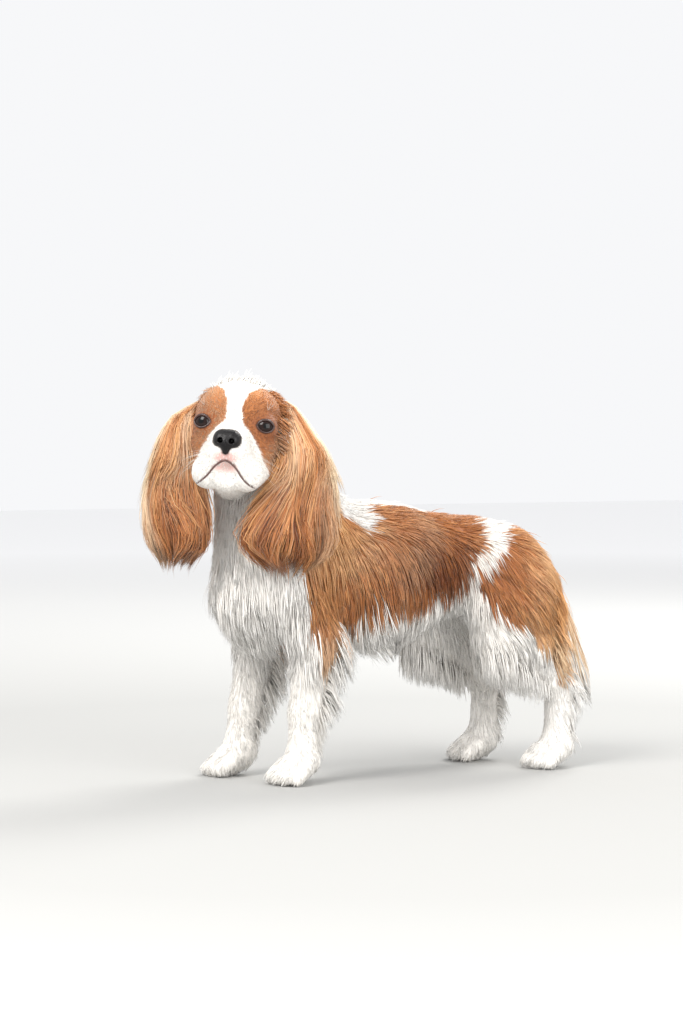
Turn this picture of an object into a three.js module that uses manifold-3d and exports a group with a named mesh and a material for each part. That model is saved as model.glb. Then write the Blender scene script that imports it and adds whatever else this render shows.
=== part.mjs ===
// A cavalier spaniel, life size, standing square with its head turned to its left.
// The flesh is one smooth field of named masses, meshed once and parted with thin cuts.
// The long coat is flat tapered locks, fused to the node that they grow from.
// Millimetres. +X is the way that the chest faces, +Y is the dog's left, +Z is up, the floor is z = 0.
import * as THREE from "three";
import { mergeVertices } from "three/addons/utils/BufferGeometryUtils.js";
import Module from "manifold-3d";

const wasm = await Module();
wasm.setup();

// Driving sizes
const GAP = 0.3; // kept between pieces that meet
const WELD = 0.02; // corners nearer than this are one corner
const CHEST_HALF = 72; // half the width of the rib cage
const LEG_SPREAD = 50; // from the midline to a leg
const EYE_RADIUS = 11.5;
const EYE_SPREAD = 32.5; // from the midline to the middle of an eye
const HEAD_TURN = 57; // degrees to the left
const HEAD_LIFT = 8; // degrees of muzzle up
const HEAD_TILT = 4.8; // degrees, the crown towards the left
const HEAD_AT = [211, 28, 391]; // between the eyes, on the head's own axis

const SIDES = { left: 1, right: -1 };
const vec = (x, y, z) => new THREE.Vector3(x, y, z);
const rad = THREE.MathUtils.degToRad;
const mix = THREE.MathUtils.lerp;

// The head's frame: forward along the muzzle, left, up, with its origin between the eyes' centres.
const headTurn = new THREE.Matrix4()
  .makeRotationZ(rad(HEAD_TURN))
  .multiply(new THREE.Matrix4().makeRotationY(rad(-HEAD_LIFT)))
  .multiply(new THREE.Matrix4().makeRotationX(rad(-HEAD_TILT)));
const headFrame = headTurn.clone().setPosition(vec(...HEAD_AT));
const headFrameBack = headFrame.clone().invert();
const onHead = (x, y, z) => vec(x, y, z).applyMatrix4(headFrame);
const headWay = (x, y, z) => vec(x, y, z).transformDirection(headFrame);

// A mass is a tapered capsule from a to b, made wide or narrow across the body, with a blend radius.
const mass = (a, b, ra, rb, blend = 14, wide = 1) => ({ a, b, ra, rb, blend, wide });
// The same mass on both sides of the midline.
const pair = ([ax, ay, az], [bx, by, bz], ra, rb, blend, wide) =>
  Object.values(SIDES).map((s) => mass([ax, s * ay, az], [bx, s * by, bz], ra, rb, blend, wide));

const TORSO = [
  mass([112, 0, 233], [20, 0, 232], 80, 76, 10, CHEST_HALF / 80),
  mass([20, 0, 232], [-92, 0, 240], 76, 52, 14, 0.93),
  mass([-92, 0, 236], [-146, 0, 214], 50, 44, 16, 1.08),
  mass([122, 0, 284], [50, 0, 276], 30, 28, 22, 0.9),
  mass([148, 0, 236], [170, 0, 208], 60, 50, 18, 1.04),
  ...pair([118, 34, 278], [160, 38, 214], 34, 35, 20),
  ...pair([-122, 30, 236], [-112, 38, 196], 48, 46, 22),
];
const NECK = [
  mass([124, 0, 262], [182, 19, 374], 62, 51, 24),
  mass([186, 2, 316], [178, 0, 226], 38, 48, 20),
];
// Each leg: [joint, joint, radius, radius], down to the pastern, then the paw that points along its turn.
const LEGS = {
  foreleg_left: { side: 1, elbow: 128, carpus: 142, paw: 147, turn: 22 },
  foreleg_right: { side: -1, elbow: 148, carpus: 168, paw: 178, turn: -4 },
  hindleg_left: { side: 1, stifle: -112, hock: -186, paw: -180, turn: 12 },
  hindleg_right: { side: -1, stifle: -66, hock: -146, paw: -138, turn: -4 },
};

const PAW_LENGTH = 40;
// Four toes side by side in front of the pad, and the pad itself, all cut flat by the floor.
function pawMasses(x, y, turn) {
  const ahead = vec(1, 0, 0).applyAxisAngle(vec(0, 0, 1), rad(turn));
  const across = vec(0, 1, 0).applyAxisAngle(vec(0, 0, 1), rad(turn));
  const at = (forward, side, z) => [
    x + ahead.x * forward + across.x * side,
    y + ahead.y * forward + across.y * side,
    z,
  ];
  const toes = [-1.5, -0.5, 0.5, 1.5].map((n) => {
    const reach = PAW_LENGTH - 4 * Math.abs(n);
    return mass(at(10, n * 10, 20), at(reach - 8, n * 11.5, 9), 10, 9, 4);
  });
  return [mass(at(-4, 0, 26), at(14, 0, 14), 19, 18, 10), ...toes];
}

function foreleg({ side, elbow, carpus, paw, turn }) {
  const y = side * LEG_SPREAD;
  return [
    mass([elbow + 24, y * 0.86, 214], [elbow, y, 164], 33, 28, 18),
    mass([elbow, y, 164], [carpus, y, 78], 26, 18.5, 12),
    mass([carpus, y, 78], [paw - 2, y, 30], 18.5, 17.5, 8),
    ...pawMasses(paw, y, turn),
  ];
}

function hindleg({ side, stifle, hock, paw, turn }) {
  const y = side * LEG_SPREAD;
  return [
    mass([stifle - 26, y * 0.86, 214], [stifle - 2, y, 160], 42, 36, 20),
    mass([stifle - 30, y * 0.9, 196], [hock + 34, y, 150], 42, 30, 20),
    mass([stifle, y, 154], [hock, y, 92], 32, 18, 16),
    mass([hock, y, 90], [paw - 4, y, 30], 17.5, 17, 8),
    ...pawMasses(paw, y, turn),
  ];
}

const legMasses = Object.entries(LEGS).map(([name, leg]) =>
  name.startsWith("fore") ? foreleg(leg) : hindleg(leg),
);

// The head, in its own frame: skull, brows, cheeks, eye mounds, muzzle, hanging lips and jaw.
const HEAD = [
  mass([-24, 0, 7], [0, 0, 11], 44, 44, 10, 1.12),
  ...pair([14, 19, 13], [22, 17, 19], 24, 21, 12),
  ...pair([-10, 31, -18], [20, 28, -20], 23, 21, 14),
  ...pair([18, 26, 0], [31, EYE_SPREAD, 0], 18, 14.5, 8),
  mass([28, 0, -20], [64, 0, -24], 29, 20, 12, 1.04),
  ...pair([64, 11, -37], [50, 21, -56], 14, 16, 9),
  ...pair([50, 21, -56], [26, 26, -48], 16, 18, 10),
  mass([51, 0, -63], [4, 0, -52], 14, 28, 9),
];

// Distance to a mass, in millimetres, negative inside.
function toMass(p, m) {
  const w = m.wide;
  const px = p.x - m.a[0];
  const py = (p.y - m.a[1]) / w;
  const pz = p.z - m.a[2];
  const bx = m.b[0] - m.a[0];
  const by = (m.b[1] - m.a[1]) / w;
  const bz = m.b[2] - m.a[2];
  const along = THREE.MathUtils.clamp((px * bx + py * by + pz * bz) / (bx * bx + by * by + bz * bz), 0, 1);
  return Math.hypot(px - along * bx, py - along * by, pz - along * bz) - mix(m.ra, m.rb, along);
}

// The smooth join of masses: within `blend` of both, the surface fills in between them.
function join(start, masses, p) {
  return masses.reduce((d, m) => {
    const e = toMass(p, m);
    const h = Math.max(m.blend - Math.abs(d - e), 0) / m.blend;
    return Math.min(d, e) - (h * h * m.blend) / 4;
  }, start);
}

const FAR = 1e3;
const bodyMasses = [...TORSO, ...NECK, ...legMasses.flat()];
const headPoint = vec(0, 0, 0);
function flesh(p) {
  const body = join(FAR, bodyMasses, p);
  headPoint.copy(p).applyMatrix4(headFrameBack);
  return join(body, HEAD, headPoint);
}

const PROBE = 0.4; // step of the slope's differences
const LARGEST_MOVE = 5; // a net's point moves no further than this onto the surface
const LEAST_SLOPE = 0.2; // square of the slope, below which a move is held back
const BORDER = 3; // distance that a net takes at its grid's own border, so that it closes there
// The field's slope, which points out of the flesh.
function slope(field, p) {
  return vec(
    field(vec(p.x + PROBE, p.y, p.z)) - field(vec(p.x - PROBE, p.y, p.z)),
    field(vec(p.x, p.y + PROBE, p.z)) - field(vec(p.x, p.y - PROBE, p.z)),
    field(vec(p.x, p.y, p.z + PROBE)) - field(vec(p.x, p.y, p.z - PROBE)),
  ).divideScalar(2 * PROBE);
}

// The first point out along a way where the field is zero, with the way out of the flesh there.
function surfaceFrom(field, from, way, reach = 160) {
  let inside = 0;
  let outside = reach;
  for (let i = 0; i < 26; i++) {
    const half = (inside + outside) / 2;
    if (field(from.clone().addScaledVector(way, half)) < 0) inside = half;
    else outside = half;
  }
  const at = from.clone().addScaledVector(way, inside);
  return { at, out: slope(field, at).normalize() };
}

// Evenly spread places from low to high, about a step apart, or stretches of them one after another.
const ticks = (low, high, step) => {
  const count = Math.ceil((high - low) / step);
  return [...Array(count + 1).keys()].map((n) => mix(low, high, n / count));
};

// A net over field(p) = 0 on a grid with planes at xs, ys and zs: one point per cell that the surface
// crosses, two triangles per grid edge that it crosses, each point then moved onto the surface.
function netOver(field, [xs, ys, zs]) {
  const size = [xs.length, ys.length, zs.length];
  const index = (i, j, k) => (k * size[1] + j) * size[0] + i;
  const values = new Float32Array(size[0] * size[1] * size[2]);
  const at = (i, j, k) => vec(xs[i], ys[j], zs[k]);
  const edgeOfBox = (c) => c.some((n, axis) => n === 0 || n === size[axis] - 1);
  const cells = [];
  for (let k = 0; k < size[2]; k++)
    for (let j = 0; j < size[1]; j++)
      for (let i = 0; i < size[0]; i++) {
        const d = field(at(i, j, k));
        values[index(i, j, k)] = edgeOfBox([i, j, k]) ? Math.max(d, BORDER) : d;
        if (i < size[0] - 1 && j < size[1] - 1 && k < size[2] - 1) cells.push([i, j, k]);
      }
  const corners = [0, 1, 2, 3, 4, 5, 6, 7].map((n) => [n & 1, (n >> 1) & 1, n >> 2]);
  const steps = (a, b) => Math.abs(a[0] - b[0]) + Math.abs(a[1] - b[1]) + Math.abs(a[2] - b[2]);
  const edges = corners
    .flatMap((a, n) => corners.slice(n + 1).map((b) => [a, b]))
    .filter(([a, b]) => steps(a, b) === 1);
  const points = [];
  const pointOf = new Map();
  for (const [i, j, k] of cells) {
    const crossings = [];
    for (const [a, b] of edges) {
      const va = values[index(i + a[0], j + a[1], k + a[2])];
      const vb = values[index(i + b[0], j + b[1], k + b[2])];
      if (va < 0 === vb < 0) continue;
      const near = at(i + a[0], j + a[1], k + a[2]);
      const far = at(i + b[0], j + b[1], k + b[2]);
      crossings.push(near.lerp(far, va / (va - vb)));
    }
    if (!crossings.length) continue;
    const point = crossings.reduce((sum, c) => sum.add(c), vec(0, 0, 0)).divideScalar(crossings.length);
    const start = point.clone();
    for (let pass = 0; pass < 2; pass++) {
      const s = slope(field, point);
      point.addScaledVector(s, -field(point) / Math.max(s.lengthSq(), LEAST_SLOPE));
    }
    if (point.distanceTo(start) > LARGEST_MOVE) point.copy(start);
    pointOf.set(index(i, j, k), points.push(point) - 1);
  }
  const triangles = [];
  const cell = (i, j, k) => pointOf.get(index(i, j, k));
  // A quad is split along its shorter diagonal.
  const quad = (a, b, c, d, flip) => {
    const [p, q, r, s] = flip ? [d, c, b, a] : [a, b, c, d];
    if (points[p].distanceTo(points[r]) < points[q].distanceTo(points[s])) triangles.push(p, q, r, p, r, s);
    else triangles.push(q, r, s, q, s, p);
  };
  for (const [i, j, k] of cells) {
    const here = values[index(i, j, k)] < 0;
    if (j && k && here !== values[index(i + 1, j, k)] < 0)
      quad(cell(i, j - 1, k - 1), cell(i, j, k - 1), cell(i, j, k), cell(i, j - 1, k), !here);
    if (i && k && here !== values[index(i, j + 1, k)] < 0)
      quad(cell(i - 1, j, k - 1), cell(i - 1, j, k), cell(i, j, k), cell(i, j, k - 1), !here);
    if (i && j && here !== values[index(i, j, k + 1)] < 0)
      quad(cell(i - 1, j - 1, k), cell(i, j - 1, k), cell(i, j, k), cell(i - 1, j, k), !here);
  }
  return { points, triangles };
}

// Whether each edge of a net has exactly two triangles. An edge has four where two sheets pass one cell.
function isSound({ points, triangles }) {
  const uses = new Map();
  triangles.forEach((a, n) => {
    const b = triangles[n % 3 === 2 ? n - 2 : n + 1];
    const key = Math.min(a, b) * points.length + Math.max(a, b);
    uses.set(key, (uses.get(key) ?? 0) + 1);
  });
  return [...uses.values()].every((n) => n === 2);
}

const GRID_TRIES = 12;
const GRID_NUDGE = 1.7; // how far a grid moves from try to try, and 1 mm more on each further axis
const GRID_REACH = 6; // where that movement starts again from nothing
// The solid of a field on a grid, from the first of a few slightly shifted grids whose net is sound.
// A place, if any, is the frame that the field and the grid are in.
function meshOf(field, grid, place) {
  for (let n = 0; n < GRID_TRIES; n++) {
    const nudge = (axis) => (n * (axis + GRID_NUDGE)) % GRID_REACH;
    const net = netOver(
      field,
      grid.map((planes, axis) => planes.map((at) => at - nudge(axis))),
    );
    if (!isSound(net)) continue;
    if (place) net.points.forEach((point) => point.applyMatrix4(place));
    return solidFrom(net.points, net.triangles);
  }
  throw new Error("no grid gives a sound net: change its steps");
}

// Points and triangles, three indices each, as a solid.
function solidFrom(points, triangles) {
  const vertProperties = new Float32Array(points.flatMap((p) => [p.x, p.y, p.z]));
  const made = (order) =>
    new wasm.Manifold(
      new wasm.Mesh({ numProp: 3, vertProperties, triVerts: new Uint32Array(order), tolerance: WELD }),
    );
  const solid = made(triangles);
  return solid.volume() > 0 ? solid : made([...triangles].reverse());
}

// A three.js geometry as a solid.
function solidOf(geometry) {
  const bare = geometry.clone();
  bare.deleteAttribute("normal");
  bare.deleteAttribute("uv");
  const merged = mergeVertices(bare, 1e-3);
  const place = merged.attributes.position;
  const points = [...Array(place.count).keys()].map((n) => vec().fromBufferAttribute(place, n));
  return solidFrom(points, [...merged.index.array]);
}

const ball = (centre, radius, fine = 16) =>
  solidOf(new THREE.SphereGeometry(radius, fine, fine / 2).translate(centre.x, centre.y, centre.z));

// A solid made larger by a gap, as the union of its copies moved along each axis.
// The factor keeps the gap on faces that slant across all three axes.
const SLANT = Math.sqrt(3);
function grown(solid, gap = GAP * SLANT) {
  const moves = [
    [gap, 0, 0],
    [-gap, 0, 0],
    [0, gap, 0],
    [0, -gap, 0],
    [0, 0, gap],
    [0, 0, -gap],
  ];
  return wasm.Manifold.union([solid, ...moves.map((m) => solid.translate(m))]);
}

// The largest closed surface of a solid.
const largest = (solid) => solid.decompose().reduce((a, b) => (b.volume() > a.volume() ? b : a));

// A prism along X or Y from an outline in the plane across it.
function prism(axis, outline, from, to) {
  const shape = new THREE.Shape(outline.map(([u, v]) => new THREE.Vector2(u, v)));
  const options = { depth: to - from, bevelEnabled: false };
  const block = new THREE.ExtrudeGeometry(shape, options).translate(0, 0, from);
  // The outline's own axes become (Y, Z) for a prism along X, and (X, Z) for one along Y.
  const turn = new THREE.Matrix4();
  if (axis === "x") turn.makeBasis(vec(0, 1, 0), vec(0, 0, 1), vec(1, 0, 0));
  else turn.makeBasis(vec(1, 0, 0), vec(0, 0, 1), vec(0, -1, 0));
  return solidOf(block.applyMatrix4(turn));
}

// An outline, drawn anticlockwise, with every side moved outwards.
function widened(outline, by) {
  const side = ([a, b]) => {
    const [du, dv] = [b[0] - a[0], b[1] - a[1]];
    const length = Math.hypot(du, dv);
    return [dv / length, -du / length];
  };
  return outline.map((corner, n) => {
    const before = side([outline.at(n - 1), corner]);
    const after = side([corner, outline[(n + 1) % outline.length]]);
    const [u, v] = [before[0] + after[0], before[1] + after[1]];
    const reach = (2 * by) / (u * u + v * v);
    return [corner[0] + u * reach, corner[1] + v * reach];
  });
}

// The far side of a plane, as a large block whose near face is the plane.
const HALF_SPACE = 900;
function beyond(point, normal) {
  const turn = new THREE.Quaternion().setFromUnitVectors(vec(0, 0, 1), normal.clone().normalize());
  const block = new THREE.BoxGeometry(HALF_SPACE, HALF_SPACE, HALF_SPACE)
    .translate(0, 0, HALF_SPACE / 2)
    .applyQuaternion(turn);
  return solidOf(block.translate(point.x, point.y, point.z));
}

// A body swept through stations, each a centre, a broad way, a flat way and half sizes along them.
// A curl bends the section's two edges back, as a share of its half width.
function sweep(stations, sides) {
  const points = [];
  for (const s of stations)
    for (let n = 0; n < sides; n++) {
      const a = (2 * Math.PI * n) / sides;
      const [across, up] = [Math.cos(a), Math.sin(a)];
      points.push(
        s.at
          .clone()
          .addScaledVector(s.broad, across * s.wide)
          .addScaledVector(s.flat, up * s.thick - (s.curl ?? 0) * s.wide * across * across),
      );
    }
  const first = points.push(stations[0].at.clone()) - 1;
  const last = points.push(stations.at(-1).tip ?? stations.at(-1).at.clone()) - 1;
  const triangles = [];
  const ring = (row, n) => row * sides + (n % sides);
  for (let n = 0; n < sides; n++) {
    for (let row = 0; row < stations.length - 1; row++) {
      const [a, b, c, d] = [ring(row, n), ring(row, n + 1), ring(row + 1, n + 1), ring(row + 1, n)];
      if (row % 2) triangles.push(a, b, c, a, c, d);
      else triangles.push(a, b, d, b, c, d);
    }
    triangles.push(first, ring(0, n + 1), ring(0, n));
    triangles.push(last, ring(stations.length - 1, n), ring(stations.length - 1, n + 1));
  }
  return solidFrom(points, triangles);
}

// One flat tapered lock. It is rooted under the surface at a place, leaves along `lie`, bends
// towards `fall`, and turns its flat side to `face`.
const LOCK_SINK = 5;
const LOCK_LIFT = 0.3; // how steeply a lock leaves the surface
const LOCK_BEND = 0.34; // how far it turns towards its fall from one ring to the next
const LOCK_THICK = 7;
const LONG_LOCKS = [46, 75]; // lengths past which a lock has one more ring
const LOCK_TAPER = 0.8; // the power that rounds its outline towards the tip
function lock({ at, out }, shape, lift) {
  const { lie, fall = DOWN, face = out, length, width, thick = LOCK_THICK, bend = LOCK_BEND } = shape;
  const rings = 3 + LONG_LOCKS.filter((limit) => length > limit).length;
  const stations = [];
  const point = at.clone().addScaledVector(out, -LOCK_SINK);
  const way = lie.clone().addScaledVector(out, lift).normalize();
  for (let n = 0; n < rings; n++) {
    const t = n / rings;
    const broad = way.clone().cross(face).normalize();
    stations.push({
      at: point.clone(),
      broad,
      flat: broad.clone().cross(way).normalize(),
      wide: (width / 2) * (1 - t * t) ** LOCK_TAPER,
      thick: (thick / 2) * mix(1, 0.5, t),
    });
    point.addScaledVector(way, (length + LOCK_SINK) / rings);
    way.lerp(fall, bend).normalize();
  }
  stations.at(-1).tip = point.clone();
  return sweep(stations, 4);
}

// Repeatable random draws.
let seed = 7;
function draw(low, high) {
  seed = (seed * 1103515245 + 12345) % 2147483648;
  return mix(low, high, seed / 2147483648);
}

const DOWN = vec(0, 0, -1);
const MIDDLE = vec(0, 0, 0);

// Nets of the flesh: long cells on the trunk, finer ones on the legs, the finest on the face
const trunkGrid = [
  [...ticks(-214, 110, 27), ...ticks(126, 258, 16)],
  ticks(-112, 112, 16),
  ticks(106, 440, 17),
];
const legGrid = [
  ticks(-236, 252, 12),
  ticks(-100, 100, 11),
  [...ticks(-22, 38, 10), ...ticks(56, 276, 20)],
];
const headGrid = [
  [...ticks(-130, 0, 18), ...ticks(14, 104, 8)],
  ticks(-86, 86, 9.6),
  [...ticks(-130, -84, 16), ...ticks(-75, 84, 9.4)],
];
const trunkSolid = meshOf(flesh, trunkGrid);
const legSolid = meshOf(flesh, legGrid);
const inHead = (p) => flesh(p.clone().applyMatrix4(headFrame));
const headSolid = meshOf(inHead, headGrid, headFrame);

// The cuts that part the flesh
const floor = beyond(vec(0, 0, 0), DOWN);
const neckTop = { at: vec(176, 14, 356), way: vec(0.42, 0.26, 0.87) };
const neckBase = { at: vec(140, 0, 306), way: vec(0.18, 0, 0.98) };
const pastPlane = ({ at, way }, by = 0) =>
  beyond(at.clone().addScaledVector(way.clone().normalize(), -by), way);

// The block that holds a leg: a foreleg starts at the elbow, and a hind leg at the hip,
// where its inside is cut on a slant up to the belly.
function legCut(name, by = 0) {
  const s = SIDES[name.split("_")[1]];
  const across = (outline) => widened(s > 0 ? outline : outline.map(([y, z]) => [-y, z]).reverse(), by);
  if (name.startsWith("fore")) {
    const front = [
      [16, -5],
      [120, -5],
      [120, 196],
      [72, 186],
      [16, 150],
    ];
    return prism("x", across(front), 96 - by, 260 + by);
  }
  const front = [
    [8, -5],
    [130, -5],
    [130, 262],
    [60, 262],
    [8, 172],
  ];
  const shift = LEGS[name].stifle - LEGS.hindleg_left.stifle;
  const side = [
    [-260, -5],
    [-40 + shift, -5],
    [-52 + shift, 172],
    [-84 + shift / 2, 214],
    [-134, 240],
    [-186, 222],
    [-260, 174],
  ];
  return prism("x", across(front), -270, 60).intersect(prism("y", widened(side, by), -140, 140));
}

const legNames = Object.keys(LEGS);
const legs = Object.fromEntries(
  legNames.map((name) => [name, largest(legSolid.intersect(legCut(name)).subtract(floor))]),
);
const allLegCuts = wasm.Manifold.union(legNames.map((name) => legCut(name, GAP)));
const torsoFlesh = largest(trunkSolid.subtract(allLegCuts).subtract(pastPlane(neckBase, GAP)));
const neckFlesh = largest(trunkSolid.intersect(pastPlane(neckBase)).subtract(pastPlane(neckTop, GAP)));
const headFlesh = largest(headSolid.intersect(pastPlane(neckTop)));

// Eyes, and lids that leave an almond opening over each
const EYE_AT = 33; // forward of the head's origin
const eyes = Object.fromEntries(
  Object.entries(SIDES).map(([side, s]) => [side, onHead(EYE_AT, s * EYE_SPREAD, 0)]),
);
const EYE_OUT = 0.3; // how far outwards an eye looks, against 1 ahead
const EYE_UP = 0.02;
const gaze = Object.fromEntries(
  Object.entries(SIDES).map(([side, s]) => [side, headWay(1, s * EYE_OUT, EYE_UP)]),
);

// The overlap of two long round bars along the gaze, which is an almond between an upper and a lower arc.
const LID = { radius: 9.9, offset: 3, start: 2, length: 40, sides: 14 };
function lidOpening(side) {
  const turn = new THREE.Matrix4()
    .lookAt(gaze[side], MIDDLE, headWay(0, 0, 1))
    .setPosition(eyes[side]);
  const arc = (up) =>
    solidOf(
      new THREE.CylinderGeometry(LID.radius, LID.radius, LID.length, LID.sides)
        .rotateX(Math.PI / 2)
        .translate(0, up, LID.start + LID.length / 2)
        .applyMatrix4(turn),
    );
  return arc(-LID.offset).intersect(arc(LID.offset));
}

let head = headFlesh;
for (const side of Object.keys(SIDES)) {
  head = head.subtract(ball(eyes[side], EYE_RADIUS + 2 * GAP, 12)).subtract(lidOpening(side));
}

// The nose pad, with two nostrils
const NOSE = { at: [77, 0, -23], half: [10, 14.5, 11.5] };
const NOSTRIL = { at: [87, 7.5, -23], half: [5, 3.4, 3.6] };
function ellipsoid(place, half, fine = 16) {
  return solidOf(
    new THREE.SphereGeometry(1, fine, fine / 2)
      .rotateX(Math.PI / 2)
      .scale(...half)
      .translate(...place)
      .applyMatrix4(headFrame),
  );
}
let nose = ellipsoid(NOSE.at, NOSE.half, 12);
for (const s of Object.values(SIDES)) {
  const [x, y, z] = NOSTRIL.at;
  nose = nose.subtract(ellipsoid([x, s * y, z], NOSTRIL.half, 8));
}
head = head.subtract(ellipsoid(NOSE.at, NOSE.half.map((r) => r + 2 * GAP), 12));

// The line of the mouth: a groove from under the nose, down and back along each hanging lip
const MOUTH_HALF = [
  [77, 0, -44],
  [71, 13, -52],
  [64, 25, -66],
  [40, 36, -71],
];
const MOUTH = { heart: [30, 0, -50], steps: 10, wide: 13, thick: 1.7 };
function mouthLine() {
  const right = MOUTH_HALF.slice(1).reverse();
  const path = [...right.map(([x, y, z]) => [x, -y, z]), ...MOUTH_HALF];
  const curve = new THREE.CatmullRomCurve3(path.map((p) => onHead(...p)));
  const stations = [...Array(MOUTH.steps + 1).keys()].map((n) => {
    const way = curve.getTangentAt(n / MOUTH.steps);
    const at = curve.getPointAt(n / MOUTH.steps);
    const inward = onHead(...MOUTH.heart).sub(at);
    const flat = way.clone().cross(inward).normalize();
    const broad = flat.clone().cross(way).normalize();
    return { at, broad, flat, wide: MOUTH.wide, thick: MOUTH.thick };
  });
  return sweep(stations, 4);
}
head = largest(head.subtract(mouthLine()));

// The first point of the coat out along a way, with the way out of the flesh there.
const rootAt = (from, way) => surfaceFrom(flesh, from, way.clone().normalize());

// A node's core with its locks fused on. A lock that would cross another node is lifted off the coat
// until it is clear of it, or left out.
const LIFTS = [0, 0.25, 0.5, 0.8];
function planted(core, locks, others) {
  const kept = [];
  for (const { root, ...shape } of locks)
    for (const more of LIFTS) {
      const made = lock(root, shape, (shape.lift ?? LOCK_LIFT) + more);
      if (others.some((other) => made.intersect(other).numTri() > 0)) continue;
      kept.push(made);
      break;
    }
  return largest(wasm.Manifold.union([core, ...kept]));
}

// An ear hangs from its root beside the eye. Each row is a place on the middle line of its leather
// flap, with half its width and half its thickness there.
const EAR_FACING = 45; // degrees from straight ahead to the way that its outer face looks
const EAR_CURL = 0.28; // how far the flap's edges bend in towards the cheek, as a share of its half width
const EARS = {
  ear_left: [
    [163, 42, 421, 9, 4],
    [162, 55, 406, 19, 6],
    [161, 70, 372, 33, 8],
    [164, 78, 338, 43, 8],
    [169, 82, 312, 44, 5],
  ],
  ear_right: [
    [241, -9, 425, 9, 4],
    [255, -15, 409, 16, 6],
    [268, -23, 380, 32, 7],
    [274, -25, 340, 47, 7],
    [275, -24, 318, 48, 5],
  ],
};
function earFrame(name) {
  const s = SIDES[name.split("_")[1]];
  const out = headWay(Math.cos(rad(EAR_FACING)), s * Math.sin(rad(EAR_FACING)), 0).setZ(0).normalize();
  return { out, broad: vec(-out.y, out.x, 0) };
}
function earFlap(name) {
  const { out, broad } = earFrame(name);
  const stations = EARS[name].map(([x, y, z, wide, thick]) => {
    return { at: vec(x, y, z), broad, flat: out, wide, thick, curl: EAR_CURL };
  });
  return sweep(stations, 12);
}

// Tiers of locks down an ear: [row along the flap, locks across it, length]. The last tier is the fringe.
const EAR_LOCK_REACH = 0.92; // how near to the flap's edges the outermost locks grow, as a share
const EAR_TIERS = [
  [0.8, 3, 58],
  [1.9, 4, 76],
  [3, 6, 96],
  [3.8, 5, 84],
];
function earLocks(name, cut) {
  const { out, broad } = earFrame(name);
  const rows = EARS[name];
  const at = (row) => {
    const n = Math.min(Math.floor(row), rows.length - 2);
    return rows[n].map((value, column) => mix(value, rows[n + 1][column], row - n));
  };
  return EAR_TIERS.flatMap(([row, count, length], tier) =>
    [...Array(count).keys()].map((n) => {
      const [x, y, z, wide, thick] = at(row);
      const across = mix(-EAR_LOCK_REACH, EAR_LOCK_REACH, n / (count - 1));
      const inside = tier === EAR_TIERS.length - 1;
      const away = inside ? -thick * 0.6 : thick * Math.sqrt(1 - across * across);
      const place = vec(x, y, z)
        .addScaledVector(broad, across * wide)
        .addScaledVector(out, away - EAR_CURL * wide * across * across);
      const way = out
        .clone()
        .multiplyScalar(inside ? -1 : 1)
        .addScaledVector(broad, across * 0.6)
        .normalize();
      return {
        root: { at: place.addScaledVector(way, 1), out: way },
        lie: vec(0, 0, -1).addScaledVector(broad, across * cut.spread),
        face: out.clone().addScaledVector(broad, across * 0.5).normalize(),
        length: length * cut.long * draw(0.92, 1.04) * (1 - 0.14 * across * across),
        width: cut.width * draw(0.9, 1.15) * (tier ? 1 : 0.75),
        lift: inside ? 0.05 : 0.16,
        bend: 0.3,
      };
    }),
  );
}
const EAR_CUT = {
  ear_left: { long: 1, width: 42, spread: 0.3 },
  ear_right: { long: 0.92, width: 38, spread: 0.36 },
};

// The tail: a core that hangs behind the hind legs, and its plume
const TAIL = [
  [-164, 0, 240, 14, 13],
  [-180, 1, 230, 14, 13],
  [-194, 5, 206, 12, 12],
  [-203, 10, 176, 10, 10],
  [-210, 14, 150, 7, 7],
];
const tailPoint = (n) => vec(...TAIL[n].slice(0, 3));
const tailWay = (n) =>
  tailPoint(Math.min(n + 1, TAIL.length - 1)).sub(tailPoint(Math.max(n - 1, 0))).normalize();
const tailCore = sweep(
  TAIL.map(([, , , wide, thick], n) => {
    const broad = vec(0, 1, 0).cross(tailWay(n)).normalize();
    return { at: tailPoint(n), broad, flat: tailWay(n).cross(broad), wide, thick };
  }),
  8,
);
function tailLocks() {
  const locks = [];
  for (let n = 1; n < TAIL.length; n++)
    for (const turn of [-135, -45, 45, 135].slice(0, n === 1 ? 3 : 4)) {
      const side = vec(0, 1, 0).applyAxisAngle(tailWay(n), rad(turn - 90));
      const last = n === TAIL.length - 1;
      locks.push({
        root: { at: tailPoint(n).addScaledVector(side, TAIL[n][4] * 0.9), out: side },
        lie: tailWay(n),
        face: vec(0.3, 1, 0).normalize(),
        fall: vec(-0.22, 0.02, -1).normalize(),
        length: (last ? 74 : 58) * draw(0.9, 1.1),
        width: 30 * draw(0.9, 1.1),
        lift: 0.26,
      });
    }
  return locks;
}

// The bib: rows of locks round the front of the chest, each [height, locks, length, lift]
const BIB = [
  [278, 4, 60, 0.22],
  [250, 5, 62, 0.2],
  [222, 5, 62, 0.16],
  [196, 5, 60, 0.12],
  [176, 4, 66, 0.1],
];
const bibLocks = () =>
  BIB.flatMap(([height, count, length, lift]) =>
    [...Array(count).keys()].map((n) => {
      const turn = rad(mix(-56, 56, n / (count - 1)));
      const way = vec(Math.cos(turn), Math.sin(turn), 0);
      return {
        root: rootAt(vec(140, 0, height + draw(-5, 5)), way),
        lie: DOWN,
        fall: vec(-0.16, 0, -1).normalize(),
        face: way,
        length: length * draw(0.9, 1.1),
        width: 44 * draw(0.9, 1.1),
        thick: 9,
        lift,
        bend: 0.3,
      };
    }),
  );

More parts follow.
